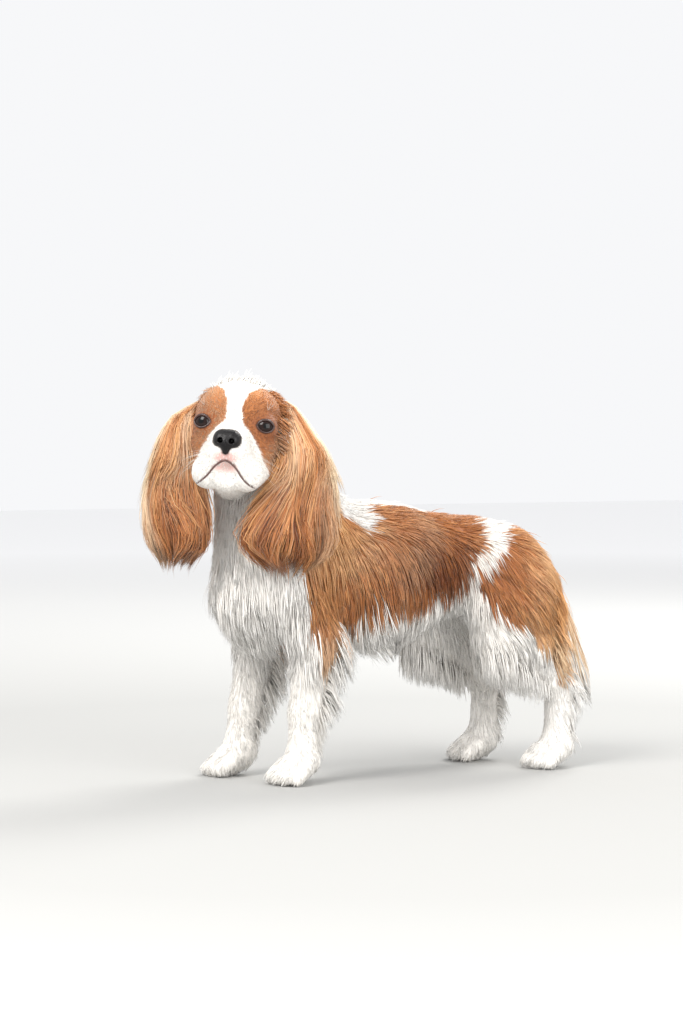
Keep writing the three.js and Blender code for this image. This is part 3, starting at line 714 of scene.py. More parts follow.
class Shader:
    """A material's node tree, written from its output back."""

    def __init__(self, name: str) -> None:
        """Makes an empty material with a principled shader.

        Args:
            name: The material's name.
        """
        self.made = bpy.data.materials.new(name)
        self.made.use_nodes = True
        self.tree = self.made.node_tree
        self.surface = self.tree.nodes["Principled BSDF"]

    def node(self, kind: str, inputs: dict | None = None, **settings: object) -> bpy.types.Node:
        """Adds a node.

        Args:
            kind: Its type, without the "ShaderNode" in front.
            inputs: Socket values, or the sockets that feed them.
            settings: Properties of the node.

        Returns:
            The node.
        """
        node = self.tree.nodes.new("ShaderNode" + kind)
        for key, value in settings.items():
            setattr(node, key, value)
        self.feed(node, inputs or {})
        return node

    def feed(self, node: bpy.types.Node, inputs: dict) -> None:
        """Sets or links a node's sockets.

        Args:
            node: The node.
            inputs: Values, or the sockets that feed them, by the names of the node's own.
        """
        for key, value in inputs.items():
            if isinstance(value, bpy.types.NodeSocket):
                self.tree.links.new(value, node.inputs[key])
            else:
                node.inputs[key].default_value = value

    def value(self, name: str) -> bpy.types.NodeSocket:
        """A value that the mesh carries at its points."""
        return self.node("Attribute", attribute_name=name).outputs["Fac"]

    def sum(self, operation: str, *terms: Feed, clamp: bool = False) -> bpy.types.NodeSocket:
        """A sum of one to three terms."""
        return self.node("Math", dict(enumerate(terms)), operation=operation, use_clamp=clamp).outputs[0]

    def noise(self, scale: float, detail: float = 2, stretch: Point = (1, 1, 1)) -> bpy.types.NodeSocket:
        """Noise on the object's own coordinates.

        Args:
            scale: How fine it is.
            detail: Its octaves.
            stretch: Its fineness along each axis.

        Returns:
            The noise, 0 to 1.
        """
        place = self.node("TexCoord").outputs["Object"]
        turned = self.node("Mapping", {"Vector": place, "Scale": stretch}).outputs[0]
        return self.node("TexNoise", {"Vector": turned, "Scale": scale, "Detail": detail}).outputs[0]

    def blend(self, share: Feed, first: Feed, second: Feed) -> bpy.types.NodeSocket:
        """A mix of two colours.

        Args:
            share: 0 for the first to 1 for the second.
            first: A colour.
            second: Another.

        Returns:
            The colour.
        """
        node = self.node("Mix", data_type="RGBA", blend_type="MIX")
        self.feed(node, {0: share, 6: first, 7: second})
        return node.outputs[2]

    def shades(self, share: Feed, *stops: tuple[float, Colour]) -> bpy.types.NodeSocket:
        """A colour ramp.

        Args:
            share: The place on the ramp.
            stops: Places from 0 to 1, each with its colour.

        Returns:
            The colour.
        """
        node = self.node("ValToRGB", {0: share})
        ramp_stops = node.color_ramp.elements
        while len(ramp_stops) < len(stops):
            ramp_stops.new(0.5)
        for stop, (place, colour) in zip(ramp_stops, stops):
            stop.position, stop.color = place, colour
        return node.outputs[0]

    def bump(self, height: Feed, strength: float, depth: float) -> None:
        """Gives the surface a bump from a height."""
        bumped = self.node("Bump", {"Height": height, "Strength": strength, "Distance": depth})
        self.feed(self.surface, {"Normal": bumped.outputs[0]})


def paint(red: float, green: float, blue: float) -> Colour:
    """A colour given as 0 to 255 on a screen, in linear light."""
    return (*((c / 255) ** 2.2 for c in (red, green, blue)), 1.0)


class Finish:
    """A finish, made once and shared by the pieces that have it."""

    _made: dict = {}

    def material(self) -> bpy.types.Material:
        """The finish's material, made when it is first asked for.

        Returns:
            The material.
        """
        if self not in Finish._made:
            shader = Shader(type(self).__name__)
            self.dress(shader)
            Finish._made[self] = shader.made
        return Finish._made[self]

    def dress(self, shader: Shader) -> None:
        """Fills the material's node tree."""
        raise NotImplementedError


@dataclass(frozen=True)
class CoatColours:
    """The two colours of the coat, from root to tip and from dark to light locks; the darker root is painted
    shade deep in the coat.
    """

    white_shaded_root: Colour = paint(238, 232, 223)
    white_tip: Colour = paint(253, 251, 248)
    deep: Colour = paint(106, 56, 29)
    middle: Colour = paint(184, 117, 68)
    light: Colour = paint(234, 180, 122)
    # pale: blond hair, and on the ears painted rim light and highlights
    pale: Colour = paint(246, 222, 188)

    def blend(self, shader: Shader, tone: Feed, along: Feed) -> bpy.types.NodeSocket:
        """Mixes white and chestnut by the markings.

        Args:
            shader: The material.
            tone: 0 for dark locks to 1 for light ones, with painted light and shade in it.
            along: 0 at the root to 1 at the tip; the white darkens towards the root as painted shade.

        Returns:
            The colour.
        """
        # the white brightens from root to tip: painted shade at the root
        bright = shader.sum("MULTIPLY_ADD", along, 0.5, shader.sum("MULTIPLY", tone, 0.7), clamp=True)
        white = shader.blend(bright, self.white_shaded_root, self.white_tip)
        red = shader.shades(tone, (0.1, self.deep), (0.5, self.middle), (0.9, self.light))
        # pale mixes in blond hair, and painted rim light and highlights on the ears
        red = shader.blend(shader.value("pale"), red, self.pale)
        return shader.blend(shader.value("chestnut"), white, red)


@dataclass(frozen=True)
class HairFinish(Finish):
    """Silky tufts: fine strands along each, darker at the root as painted shade deep in the coat."""

    colours: CoatColours = CoatColours()
    fineness: float = 2.2
    apart: float = 61.0

    def dress(self, shader: Shader) -> None:
        """Fills the material's node tree.

        Args:
            shader: The material.
        """
        along, tint = shader.value("along"), shader.value("tint")
        own = shader.sum("MULTIPLY", tint, self.apart)
        place = shader.sum("MULTIPLY_ADD", shader.value("across"), self.fineness, own)
        noise = {"W": place, "Scale": 1.0, "Detail": 3.0}
        strands = shader.node("TexNoise", noise, noise_dimensions="1D").outputs[0]
        # the tint carries painted light and shade
        tone = shader.sum("MULTIPLY_ADD", strands, 0.4, shader.sum("MULTIPLY_ADD", tint, 0.8, -0.2))
        # lighter towards the tip: painted shade at the root
        tone = shader.sum("MULTIPLY_ADD", along, 0.2, tone, clamp=True)
        shader.feed(shader.surface, {
            "Base Color": self.colours.blend(shader, tone, along),
            "Roughness": 0.46,
            "Specular IOR Level": 0.28,
            "Sheen Weight": 0.18,
            "Sheen Roughness": 0.4,
        })
        shader.bump(strands, 0.3, 0.0005)


@dataclass(frozen=True)
class SkinFinish(Finish):
    """Short fur on the skin: a fine nap, the coat's own markings with their painted light and shade, bare
    pink round the mouth.
    """

    colours: CoatColours = CoatColours()
    pink: Colour = paint(226, 176, 168)
    rim: Colour = paint(52, 34, 28)

    def dress(self, shader: Shader) -> None:
        """Fills the material's node tree.

        Args:
            shader: The material.
        """
        nap = shader.noise(900, 3, (1, 1, 0.35))
        cloud = shader.noise(60, 4)
        tone = shader.sum("MULTIPLY_ADD", nap, 0.4, shader.sum("MULTIPLY", cloud, 0.25))
        tone = shader.sum("SUBTRACT", tone, 0.26)
        # the tint carries painted light and shade
        tone = shader.sum("MULTIPLY_ADD", shader.value("tint"), 0.8, tone, clamp=True)
        coat = self.colours.blend(shader, tone, shader.sum("MULTIPLY_ADD", nap, 0.8, 0.1))
        bare = shader.blend(shader.value("pink"), coat, self.pink)
        shader.feed(shader.surface, {
            "Base Color": shader.blend(shader.value("rim"), bare, self.rim),
            "Roughness": 0.62,
            "Specular IOR Level": 0.3,
            "Sheen Weight": 0.2,
        })
        shader.bump(nap, 0.6, 0.0008)


@dataclass(frozen=True)
class NoseFinish(Finish):
    """Moist black leather with fine bumps."""

    black: Colour = paint(10, 9, 10)
    worn: Colour = paint(30, 27, 28)

    def dress(self, shader: Shader) -> None:
        """Fills the material's node tree.

        Args:
            shader: The material.
        """
        place = shader.node("TexCoord").outputs["Object"]
        grain = shader.node("TexVoronoi", {"Vector": place, "Scale": 1100.0}).outputs["Distance"]
        shader.feed(shader.surface, {
            "Base Color": shader.blend(grain, self.black, self.worn),
            "Roughness": 0.4,
            "Specular IOR Level": 0.22,
            "Coat Weight": 0.18,
            "Coat Roughness": 0.2,
        })
        shader.bump(grain, 0.5, 0.0004)


@dataclass(frozen=True)
class EyeFinish(Finish):
    """A glossy dark brown eye: pupil, iris, and a sliver of white far to the side."""

    pupil: Colour = paint(6, 5, 5)
    iris: Colour = paint(38, 20, 13)
    edge: Colour = paint(16, 10, 8)
    white: Colour = paint(96, 80, 72)

    def dress(self, shader: Shader) -> None:
        """Fills the material's node tree.

        Args:
            shader: The material.
        """
        off = shader.value("off")
        rings = shader.shades(
            off,
            (0.0, self.pupil), (0.16, self.pupil), (0.2, self.iris),
            (0.36, self.iris), (0.42, self.edge), (0.62, self.white),
        )
        fibre = shader.noise(700, 2)
        shader.feed(shader.surface, {
            "Base Color": shader.blend(shader.sum("MULTIPLY", fibre, 0.35), rings, self.pupil),
            "Roughness": 0.05,
            "Specular IOR Level": 0.2,
            "Coat Weight": 0.25,
            "Coat Roughness": 0.02,
        })


@dataclass(frozen=True)
class RimFinish(Finish):
    """Dark damp skin of the lids and lips."""

    dark: Colour = paint(38, 25, 22)
    soft: Colour = paint(92, 62, 56)

    def dress(self, shader: Shader) -> None:
        """Fills the material's node tree.

        Args:
            shader: The material.
        """
        mottle = shader.noise(420, 3)
        shader.feed(shader.surface, {
            "Base Color": shader.blend(shader.sum("MULTIPLY", mottle, 0.7), self.dark, self.soft),
            "Roughness": 0.32,
            "Coat Weight": 0.3,
            "Coat Roughness": 0.2,
        })
        shader.bump(mottle, 0.4, 0.0003)


LIPS = RimFinish(dark=paint(66, 40, 36), soft=paint(122, 84, 78))


@dataclass(frozen=True)
class WhiskerFinish(Finish):
    """Stiff white bristle, faintly banded."""

    bright: Colour = paint(248, 246, 240)
    dull: Colour = paint(206, 200, 190)

    def dress(self, shader: Shader) -> None:
        """Fills the material's node tree.

        Args:
            shader: The material.
        """
        shader.feed(shader.surface, {
            "Base Color": shader.blend(shader.noise(300, 2), self.bright, self.dull),
            "Roughness": 0.4,
        })


@dataclass(frozen=True)
class ClawFinish(Finish):
    """Horn, darker in patches of noise."""

    horn: Colour = paint(206, 188, 164)
    shade: Colour = paint(120, 96, 80)

    def dress(self, shader: Shader) -> None:
        """Fills the material's node tree.

        Args:
            shader: The material.
        """
        shader.feed(shader.surface, {
            "Base Color": shader.blend(shader.noise(500, 2), self.horn, self.shade),
            "Roughness": 0.35,
        })


@dataclass(frozen=True)
class FloorFinish(Finish):
    """Matt pale studio floor, with painted light: darker near the middle, where the lamps fall, and lighter
    far off, so that it looks evenly lit.
    """

    # painted light: darker near the middle, lighter far off
    near: Colour = (0.46, 0.46, 0.45, 1.0)
    middle: Colour = (0.72, 0.72, 0.71, 1.0)
    far: Colour = (0.93, 0.93, 0.93, 1.0)
    reach: float = 6.0

    def dress(self, shader: Shader) -> None:
        """Fills the material's node tree.

        Args:
            shader: The material.
        """
        place = shader.node("TexCoord").outputs["Object"]
        away = shader.node("VectorMath", {0: place}, operation="LENGTH").outputs["Value"]
        away = shader.sum("DIVIDE", away, self.reach)
        # painted light: the floor lightens with distance to make up for the lamps' falloff
        tone = shader.shades(away, (0.14, self.near), (0.5, self.middle), (0.9, self.far))
        shader.feed(shader.surface, {"Base Color": tone, "Roughness": 0.9, "Specular IOR Level": 0.1})


# Markings


def within(q: Array, outline: Sequence[tuple[float, float]]) -> Array:
    """Signed distance to a closed outline: positive inside.

    Args:
        q: Points in the outline's plane.
        outline: Its corners.

    Returns:
        Distance in millimetres.
    """
    corners = np.array(outline, float)
    inside = np.zeros(len(q), bool)
    nearest = np.full(len(q), np.inf)
    for a, b in zip(corners, np.roll(corners, -1, 0)):
        side = b - a
        t = np.clip((q - a) @ side / (side @ side), 0, 1)
        nearest = np.minimum(nearest, np.linalg.norm(q - a - t[:, None] * side, axis=1))
        spans_it = (a[1] > q[:, 1]) != (b[1] > q[:, 1])
        inside ^= spans_it & (q[:, 0] < a[0] + (q[:, 1] - a[1]) * side[0] / (side[1] or TINY))
    return np.where(inside, nearest, -nearest)


@dataclass(frozen=True)
class Markings:
    """Chestnut on white: patches on the trunk, and a white blaze down the face.

    The patches are outlines seen from the side, as (x, z). The blaze has a half width at each height.
    The tone paints light and shade onto the coat.
    """

    soft: float = 3.5
    saddle: tuple = (
        (152, 262), (160, 222), (154, 214), (139, 204), (149, 188), (147, 160), (136, 138), (124, 116),
        (118, 130), (104, 144), (93, 132), (86, 148), (62, 168), (33, 170), (12, 172), (2, 179),
        (-18, 187), (-37, 196), (-57, 208), (-70, 226), (-84, 254), (-93, 277), (-103, 292), (-98, 315),
        (40, 330), (110, 330), (150, 330),
    )
    withers: tuple = ((150, 352), (101, 297), (82, 291), (63, 273), (46, 291), (42, 312), (60, 345))
    thigh: tuple = (
        (-119, 276), (-102, 249), (-86, 230), (-71, 214), (-71, 205), (-80, 189), (-97, 174), (-118, 166),
        (-134, 149), (-154, 135), (-168, 118), (-184, 95), (-215, 95), (-225, 250), (-160, 292),
    )
    spine: tuple = ((34, 10, 312), (-20, 10, 305), 13)
    blaze_heights: tuple = (-60, -50, -30, -14, -3, 5, 15, 27, 36, 44, 52)
    blaze_halves: tuple = (46, 42, 34, 24, 14, 9, 7.5, 9, 13, 23, 60)

    def trunk(self, p: Array) -> Array:
        """Chestnut on the trunk and legs.

        Args:
            p: Points, in millimetres.

        Returns:
            0 for white to 1 for chestnut.
        """
        wander = p + 4 * Sway(34, 3).at(p) + 1.6 * Sway(9, 4).at(p)
        side = wander[:, (0, 2)]
        saddle = np.minimum(within(side, self.saddle), -within(side, self.withers))
        a, b, radius = self.spine
        saddle = np.minimum(saddle, Mass(a, b, radius, radius).distance(wander))
        patch = np.maximum(saddle, within(side, self.thigh))
        return ramp(patch, -self.soft, self.soft)

    def face(self, h: Array) -> Array:
        """Chestnut on the head.

        Args:
            h: Points in the head's frame.

        Returns:
            0 for white to 1 for chestnut.
        """
        wander = h + 1.1 * Sway(18, 5).at(h) + 0.15 * Sway(5, 6).at(h)
        half = np.interp(wander[:, 2], self.blaze_heights, self.blaze_halves)
        beside = ramp(np.abs(wander[:, 1]) - half, -1.8, 2.4)
        return beside * ramp(wander[:, 0], -62, -50) * ramp(wander[:, 2] + 0.4 * wander[:, 0], -76, -62)

    def tone(self, p: Array, on_head: Array) -> Array:
        """How much lighter or darker the chestnut is than its middle tone: painted light and shade.

        It is dark on the flank, a painted shadow, and round the eyes, painted shade; light on the shoulder, a
        painted highlight, and light on the rump and brows.

        Args:
            p: Points, in millimetres.
            on_head: 1 on the head, 0 off it.

        Returns:
            What to add to the tint.
        """
        # painted shadow on the mid flank
        dark = np.exp(-(((p[:, 0] + 30) / 62) ** 2 + ((p[:, 2] - 226) / 34) ** 2))
        # painted highlight on the shoulder
        light = np.exp(-(((p[:, 0] - 118) / 42) ** 2 + ((p[:, 2] - 262) / 60) ** 2))
        # lighter towards the rump
        light += ramp(-p[:, 0], 95, 170) * 0.9
        h = HEAD_FRAME.into(p)
        brow = 0.22 * np.exp(-(((h[:, 2] - 38) / 12) ** 2)) - 0.12
        for eye in EYES.values():
            # painted shade round each eye
            brow = brow - 0.34 * np.exp(-((np.linalg.norm(h - eye.centre, axis=-1) / 17) ** 2))
        return mix(0.36 * light - 0.4 * dark, brow, on_head)

    def chestnut(self, p: Array, on_head: Array) -> Array:
        """Chestnut anywhere on the skin, 0 to 1."""
        face = self.face(HEAD_FRAME.into(p)) * ramp(on_head, 0.02, 0.1)
        return np.maximum(self.trunk(p) * (1 - on_head), face)


MARKINGS = Markings()


# The skin


@dataclass
class Spot:
    """Places on the skin, with what the coat needs to know there."""

    at: Array
    out: Array
    on_head: Array
    face: Array

    @classmethod
    def read(cls, at: Array, out: Array) -> "Spot":
        """Reads places on the skin.

        Args:
            at: Points, in millimetres.
            out: The way out of the skin there.

        Returns:
            The spots.
        """
        body = FLESH.body(at)
        face = HEAD_FRAME.into(at)
        whole = join(HEAD, face, body)
        return cls(at, out, ramp(body - whole, 1, 14), face)

    @property
    def on_leg(self) -> Array:
        """1 on the legs below the trunk, 0 on the trunk."""
        return ramp(-self.at[:, 2], -165, -130) * (1 - self.on_head)

    @property
    def on_neck(self) -> Array:
        """1 on the neck, 0 on trunk and head."""
        rise = self.at[:, 2] + 0.35 * (self.at[:, 0] - 140)
        return ramp(rise, 292, 318) * ramp(self.at[:, 0], 60, 100) * (1 - self.on_head)


@dataclass
class Mouth:
    """The line between the lips, in the head's frame, from the left corner to the right."""

    half_path: tuple = (
        (77, 0, -44), (74, 6, -46), (71, 13, -52), (68, 18.5, -60),
        (64, 25, -66), (52, 34, -70), (36, 38, -70),
    )
    groove: float = 1.1
    steps: int = 72
    passes: int = 4
    heart: Point = (20, 0, -50)

    def path(self) -> Array:
        """The line as a smooth curve, laid on the flesh.

        Returns:
            Points in the head's frame.
        """
        right = np.array(self.half_path, float) * (1, -1, 1)
        corners = np.vstack([right[:0:-1], self.half_path])
        length = np.concatenate([[0], np.cumsum(np.linalg.norm(np.diff(corners, axis=0), axis=1))])
        at = np.linspace(0, length[-1], self.steps)
        line = np.stack([np.interp(at, length, corners[:, n]) for n in range(3)], -1)
        for _ in range(self.passes):
            line[1:-1] = (line[:-2] + 2 * line[1:-1] + line[2:]) / 4
        p = HEAD_FRAME.out(line)
        for _ in range(self.passes):
            p = p + step_onto(p, FLESH.distance)
        return HEAD_FRAME.into(p)

    def distance(self, h: Array, path: Array) -> Array:
        """Distance to the line.

        Args:
            h: Points in the head's frame.
            path: The line.

        Returns:
            Millimetres.
        """
        nearest = np.full(h.shape[:-1], np.inf)
        for a, b in zip(path[:-1:3], path[3::3]):
            side = b - a
            t = np.clip((h - a) @ side / (side @ side), 0, 1)
            nearest = np.minimum(nearest, np.linalg.norm(h - a - t[..., None] * side, axis=-1))
        return nearest

    def bare(self, h: Array) -> Array:
        """Where the skin is pink: between nose and lips, and under the middle of the mouth.

        Args:
            h: Points in the head's frame.

        Returns:
            1 where it is pink, to 0.
        """
        above = np.linalg.norm((h - (77, 0, -41)) / (1, 1.7, 0.75), axis=-1)
        below = np.linalg.norm((h - (71, 0, -52)) / (1, 1.5, 0.85), axis=-1)
        return 1 - ramp(np.minimum(above, below), 4, 11)

    def lips(self, path: Array) -> tuple[Array, Array]:
        """A dark rounded lip along the line, thickest in the middle, that sinks in towards its corners.

        Args:
            path: The line.

        Returns:
            Points and quads, in the head's frame.
        """
        middle = np.sin(np.linspace(0, np.pi, len(path)))[:, None]
        inwards = unit(np.array(self.heart) - path)
        sunk = path + inwards * (2.2 - 0.9 * middle)
        return tube(sunk, 0.4 + 0.7 * middle[:, 0] ** 1.5, 8)


@dataclass
class Nose:
    """The nose pad: a broad top, two wings round the nostrils, and a groove down the middle."""

    centre: Point = (77, 0, -22)
    fine: float = 0.7

    def pad(self, h: Array) -> Array:
        """The pad's field without its nostrils.

        Args:
            h: Points in the head's frame.

        Returns:
            Millimetres, negative inside.
        """
        x, _, z = self.centre
        return join([
            Mass((x - 2, -5, z + 1), (x - 2, 5, z + 1), 10.2, 10.2, 5),
            *pair((x + 2, 7.6, z - 2), (x - 3, 8.6, z - 3), 5.6, 5.8, 4),
            Mass((x + 2.2, 0, z - 5), (x + 2.2, 0, z - 13), 7.6, 3.4, 4),
        ], h, np.full(h.shape[:-1], FAR))

    def distance(self, h: Array) -> Array:
        """The pad's field, with a comma of a nostril on each side and a groove between.

        Args:
            h: Points in the head's frame.

        Returns:
            Millimetres, negative inside.
        """
        x, _, z = self.centre
        far = np.full(h.shape[:-1], FAR)
        holes = join([
            *pair((x + 11.5, 6.4, z - 3), (x + 4, 6, z - 1.5), 3.5, 2.4, 1),
            *pair((x + 10, 9, z - 5), (x + 4, 14.5, z - 7.5), 2.1, 1.6, 2),
        ], h, far)
        crease = join([Mass((x + 10.5, 0, z + 1), (x + 8, 0, z - 17), 0.8, 0.9, 1)], h, far)
        return np.maximum(np.maximum(self.pad(h), -holes), -crease)

    def mesh(self) -> tuple[Array, Array]:
        """The pad's net.

        Returns:
            Points and quads, in the dog's frame.
        """
        x, _, z = self.centre
        fine = self.fine
        axes = [spans((x - 14, x + 14, fine)), spans((-18, 18, fine)), spans((z - 20, z + 15, fine))]
        points, faces = net_over(self.distance, axes)
        return HEAD_FRAME.out(points), faces


TAIL_BONE = [
    Mass((-150, 0, 240), (-182, 2, 226), 7, 7, 10),
    Mass((-182, 2, 226), (-194, 5, 206), 7, 7, 4),
    Mass((-194, 5, 206), (-203, 10, 176), 7, 6.5, 3),
    Mass((-203, 10, 176), (-212, 15, 142), 6.5, 4, 3),
]


@dataclass
class Skin:
    """One skin for trunk, neck, head, legs and tail, inside the solids by the coat's depth."""

    face_depth: float = 1.2
    crown_depth: float = 2.6
    trunk_depth: float = 5.0
    leg_depth: float = 2.2
    paw_depth: float = 1.4
    sole: float = 0.3
    wide: float = 3.4
    fine: float = 2.1
    mouth: Mouth = field(default_factory=Mouth)

    def __post_init__(self) -> None:
        """Lays the mouth's line."""
        self.lip_line = self.mouth.path()

    def depth(self, p: Array, h: Array, on_head: Array) -> Array:
        """How deep the skin lies under the coat's surface.

        Args:
            p: Points, in millimetres.
            h: The same in the head's frame.
            on_head: 1 on the head, 0 off it.

        Returns:
            Millimetres.
        """
        legs = mix(self.paw_depth, self.leg_depth, ramp(p[..., 2], 20, 60))
        trunk = mix(legs, self.trunk_depth, ramp(p[..., 2], 110, 190))
        head = mix(self.face_depth, self.crown_depth, ramp(-h[..., 0] + 0.6 * h[..., 2], -5, 40))
        return mix(trunk, head, on_head)

    def distance(self, p: Array) -> Array:
        """The skin's field: flesh + depth, with the eyes' openings and the mouth's groove cut in.

        Args:
            p: Points, in millimetres.

        Returns:
            Millimetres, negative inside.
        """
        body = FLESH.body(p)
        h = HEAD_FRAME.into(p)
        whole = join(HEAD, h, body)
        d = whole + self.depth(p, h, ramp(body - whole, 0, 14))
        d = join(TAIL_BONE, p, d)
        close = (h[..., 0] > 10) & (np.abs(d) < 16)
        near = h[close]
        cut = np.minimum(self.mouth.distance(near, self.lip_line) - self.mouth.groove, Nose().pad(near) + 1)
        for eye in EYES.values():
            cut = np.minimum(cut, eye.almond(near))
        d[close] = np.maximum(d[close], -cut)
        return np.maximum(d, self.sole - p[..., 2])

    def mesh(self) -> tuple[Array, Array]:
        """The skin's net, finer over the head.

        Returns:
            Points and quads.
        """
        wide, fine = self.wide, self.fine
        axes = [
            spans((-222, 140, wide), (140, 304, fine)),
            spans((-112, -34, wide), (-34, 114, fine)),
            spans((-4, 292, wide), (292, 456, fine)),
        ]
        return net_over(self.distance, axes)

    def dressed(self, points: Array, faces: Array) -> Piece:
        """The skin with its markings, its pink and its dark rims.

        Args:
            points: The net's points.
            faces: Its quads.

        Returns:
            The piece.
        """
        spot = Spot.read(points, points)
        h = spot.face
        to_lips = self.mouth.distance(h, self.lip_line)
        to_eyes = np.min([eye.almond(h) for eye in EYES.values()], axis=0)
        front = (h[:, 0] > 10) & (spot.on_head > 0.5)
        to_nose = Nose().pad(h)
        dark = np.minimum(np.minimum(to_eyes, to_lips - 0.5), to_nose + 0.4)
        rim = np.where(front, 1 - ramp(dark, 0.3, 1.7), 0)
        pink = np.where(front, 0.9 * self.mouth.bare(h) ** 0.6, 0)
        values = {
            "chestnut": MARKINGS.chestnut(points, spot.on_head),
            # tint carries the painted light and shade of MARKINGS.tone
            "tint": np.clip(mix(0.3, 0.5, spot.on_head) + MARKINGS.tone(points, spot.on_head), 0, 1),
            "pale": np.zeros(len(points)),
            "rim": rim,
            "pink": pink,
        }
        return Piece("skin", points, faces, values)


# The coat


@dataclass
class Tufts:
    """Many thin tufts: each a path of stations from root to tip, with the way out of the coat at each."""

    paths: Array
    outs: Array
    widths: Array
    values: dict[str, Array]
    patches: Array
    thick: float = 0.4
    blunt: float = 0.75

    def mesh(self, name: str) -> Piece:
        """Closed blades with a triangular section: P(i, c) = pathᵢ + w(t)·side_c, with w as (1 − t²)^blunt.

        Args:
            name: The piece's name.

        Returns:
            The piece, each tuft a small patch of its bake map.
        """
        count, stations = self.paths.shape[:2]
        rings = stations - 1
        ways = unit(np.gradient(self.paths, axis=1))
        across = unit(np.cross(self.outs, ways))
        up = np.cross(ways, across)
        t = np.arange(rings) / rings
        half = self.widths[:, None] / 2 * (1 - t * t) ** self.blunt
        corners = np.array([[1, 0], [0, self.thick * 2], [-1, 0]])
        section = corners[:, :1] * across[:, :rings, None] + corners[:, 1:] * up[:, :rings, None]
        body = self.paths[:, :rings, None] + half[..., None, None] * section
        points = np.concatenate([body.reshape(count, rings * 3, 3), self.paths[:, -1:]], 1)
        ring, c = np.meshgrid(np.arange(rings - 1), np.arange(3), indexing="ij")
        a, b = ring * 3 + c, ring * 3 + (c + 1) % 3
        sides = np.stack([a, b, b + 3, a, b + 3, a + 3], -1).reshape(-1, 3)
        last = (rings - 1) * 3
        tip = [[last + n, last + (n + 1) % 3, rings * 3] for n in range(3)]
        faces = np.vstack([sides, tip, [[0, 2, 1]]])
        every = rings * 3 + 1
        faces = (faces[None] + np.arange(count)[:, None, None] * every).reshape(-1, 3)
        along = np.append(np.repeat(t, 3), 1)
        side = np.append(np.tile([1.0, 0.0, -1.0], rings), 0)
        values = {key: np.repeat(value, every) for key, value in self.values.items()}
        values["along"] = np.tile(along, count)
        values["across"] = np.tile(side, count)
        spot = np.stack([side * 0.5, along], -1) * PATCH
        patch = (self.patches[:, None] + spot).reshape(-1, 2)
        return Piece(name, points.reshape(-1, 3), faces, values, patch)


@dataclass
class Lie:
    """The way that the coat lies, everywhere on the dog."""

    spine_angle: float = 6
    flank_angle: float = 74
    thigh_angle: float = 52

    def way(self, spot: Spot) -> Array:
        """Unit directions along the skin: back from the nose, back along the spine, down the flanks and legs.

        Args:
            spot: Places on the skin or in the coat.

        Returns:
            One direction per place.
        """
        at, out = spot.at, spot.out
        flank = ramp(1 - out[:, 2], 0.05, 0.95)
        angle = mix(self.spine_angle, self.flank_angle, flank)
        thigh = ramp(-at[:, 0], 66, 100) * flank
        angle = np.radians(mix(angle, self.thigh_angle, thigh))
        trunk = np.stack([-np.cos(angle), np.zeros(len(at)), -np.sin(angle)], -1)
        chest = (ramp(at[:, 0], 96, 132) * ramp(out[:, 0] + 0.4 * np.abs(out[:, 1]), 0.1, 0.5))[:, None]
        trunk = mix(trunk, np.array([-0.12, 0, -1]), chest)
        neck = mix(np.array([-0.62, -0.12, -0.8]), np.array([-0.15, 0, -1]), ramp(out[:, :1], -0.2, 0.5))
        trunk = mix(trunk, neck, spot.on_neck[:, None])
        trunk = mix(trunk, np.array([-0.22, 0, -1]), spot.on_leg[:, None])
        paw = ramp(-at[:, 2], -34, -14)[:, None] * np.maximum(out[:, :1], 0)
        trunk = mix(trunk, np.array([0.8, 0, -0.6]), paw)
        away = unit(spot.face - np.array([88, 0, -14])) + np.array([0, 0, -0.16])
        away[:, 2] += 0.3 * ramp(spot.face[:, 2], 10, 40)
        way = mix(trunk, HEAD_FRAME.way(away), spot.on_head[:, None])
        return unit(way - (way * out).sum(-1, keepdims=True) * out)


LIE = Lie()


def clumped(paths: Array, size: float, pull: float) -> Array:
    """Draws neighbouring tufts together towards their tips.

    Tufts whose roots share a cube of the given size move by (mean − own)·pull·t^1.5.

    Args:
        paths: Stations of each tuft.
        size: The cube's side, in millimetres.
        pull: 0 for none to 1 for one point at the tip.

    Returns:
        The moved paths.
    """
    cube = np.floor((paths[:, 0] + 2.5 * Sway(13, 8).at(paths[:, 0])) / size).astype(np.int64)
    key = (cube[:, 0] * 4096 + cube[:, 1]) * 4096 + cube[:, 2]
    _, group = np.unique(key, return_inverse=True)
    group = group.ravel()
    share = np.bincount(group)[:, None, None]
    mean = np.zeros((len(share), *paths.shape[1:]))
    np.add.at(mean, group, paths)
    t = np.linspace(0, 1, paths.shape[1])[:, None]
    return paths + (mean / share)[group] * (pull * t**1.5) - paths * (pull * t**1.5)


@dataclass
class Unwrap:
    """A round-the-axis unwrap of a part of the skin, into a tile of the bake map."""

    centre: Point
    along: Point
    length: float
    tile: tuple[float, float, float, float] = (0.01, 0.01, 0.99, 0.98)

    def at(self, p: Array) -> Array:
        """u is the angle round the axis, v is how far along it, both scaled into the tile.

        Args:
            p: Points, in millimetres.

        Returns:
            Their places on the map.
        """
        axis = unit(np.array(self.along, float))
        first = unit(np.cross(axis, [0.3, 0.5, 0.81]))
        second = np.cross(axis, first)
        q = p - np.array(self.centre)
        u = np.arctan2(q @ second, q @ first) / (2 * np.pi) + 0.5
        v = np.clip(q @ axis / self.length + 0.5, 0, 1)
        left, low, right, high = self.tile
        return np.stack([mix(left, right, u), mix(low, high, v)], -1)


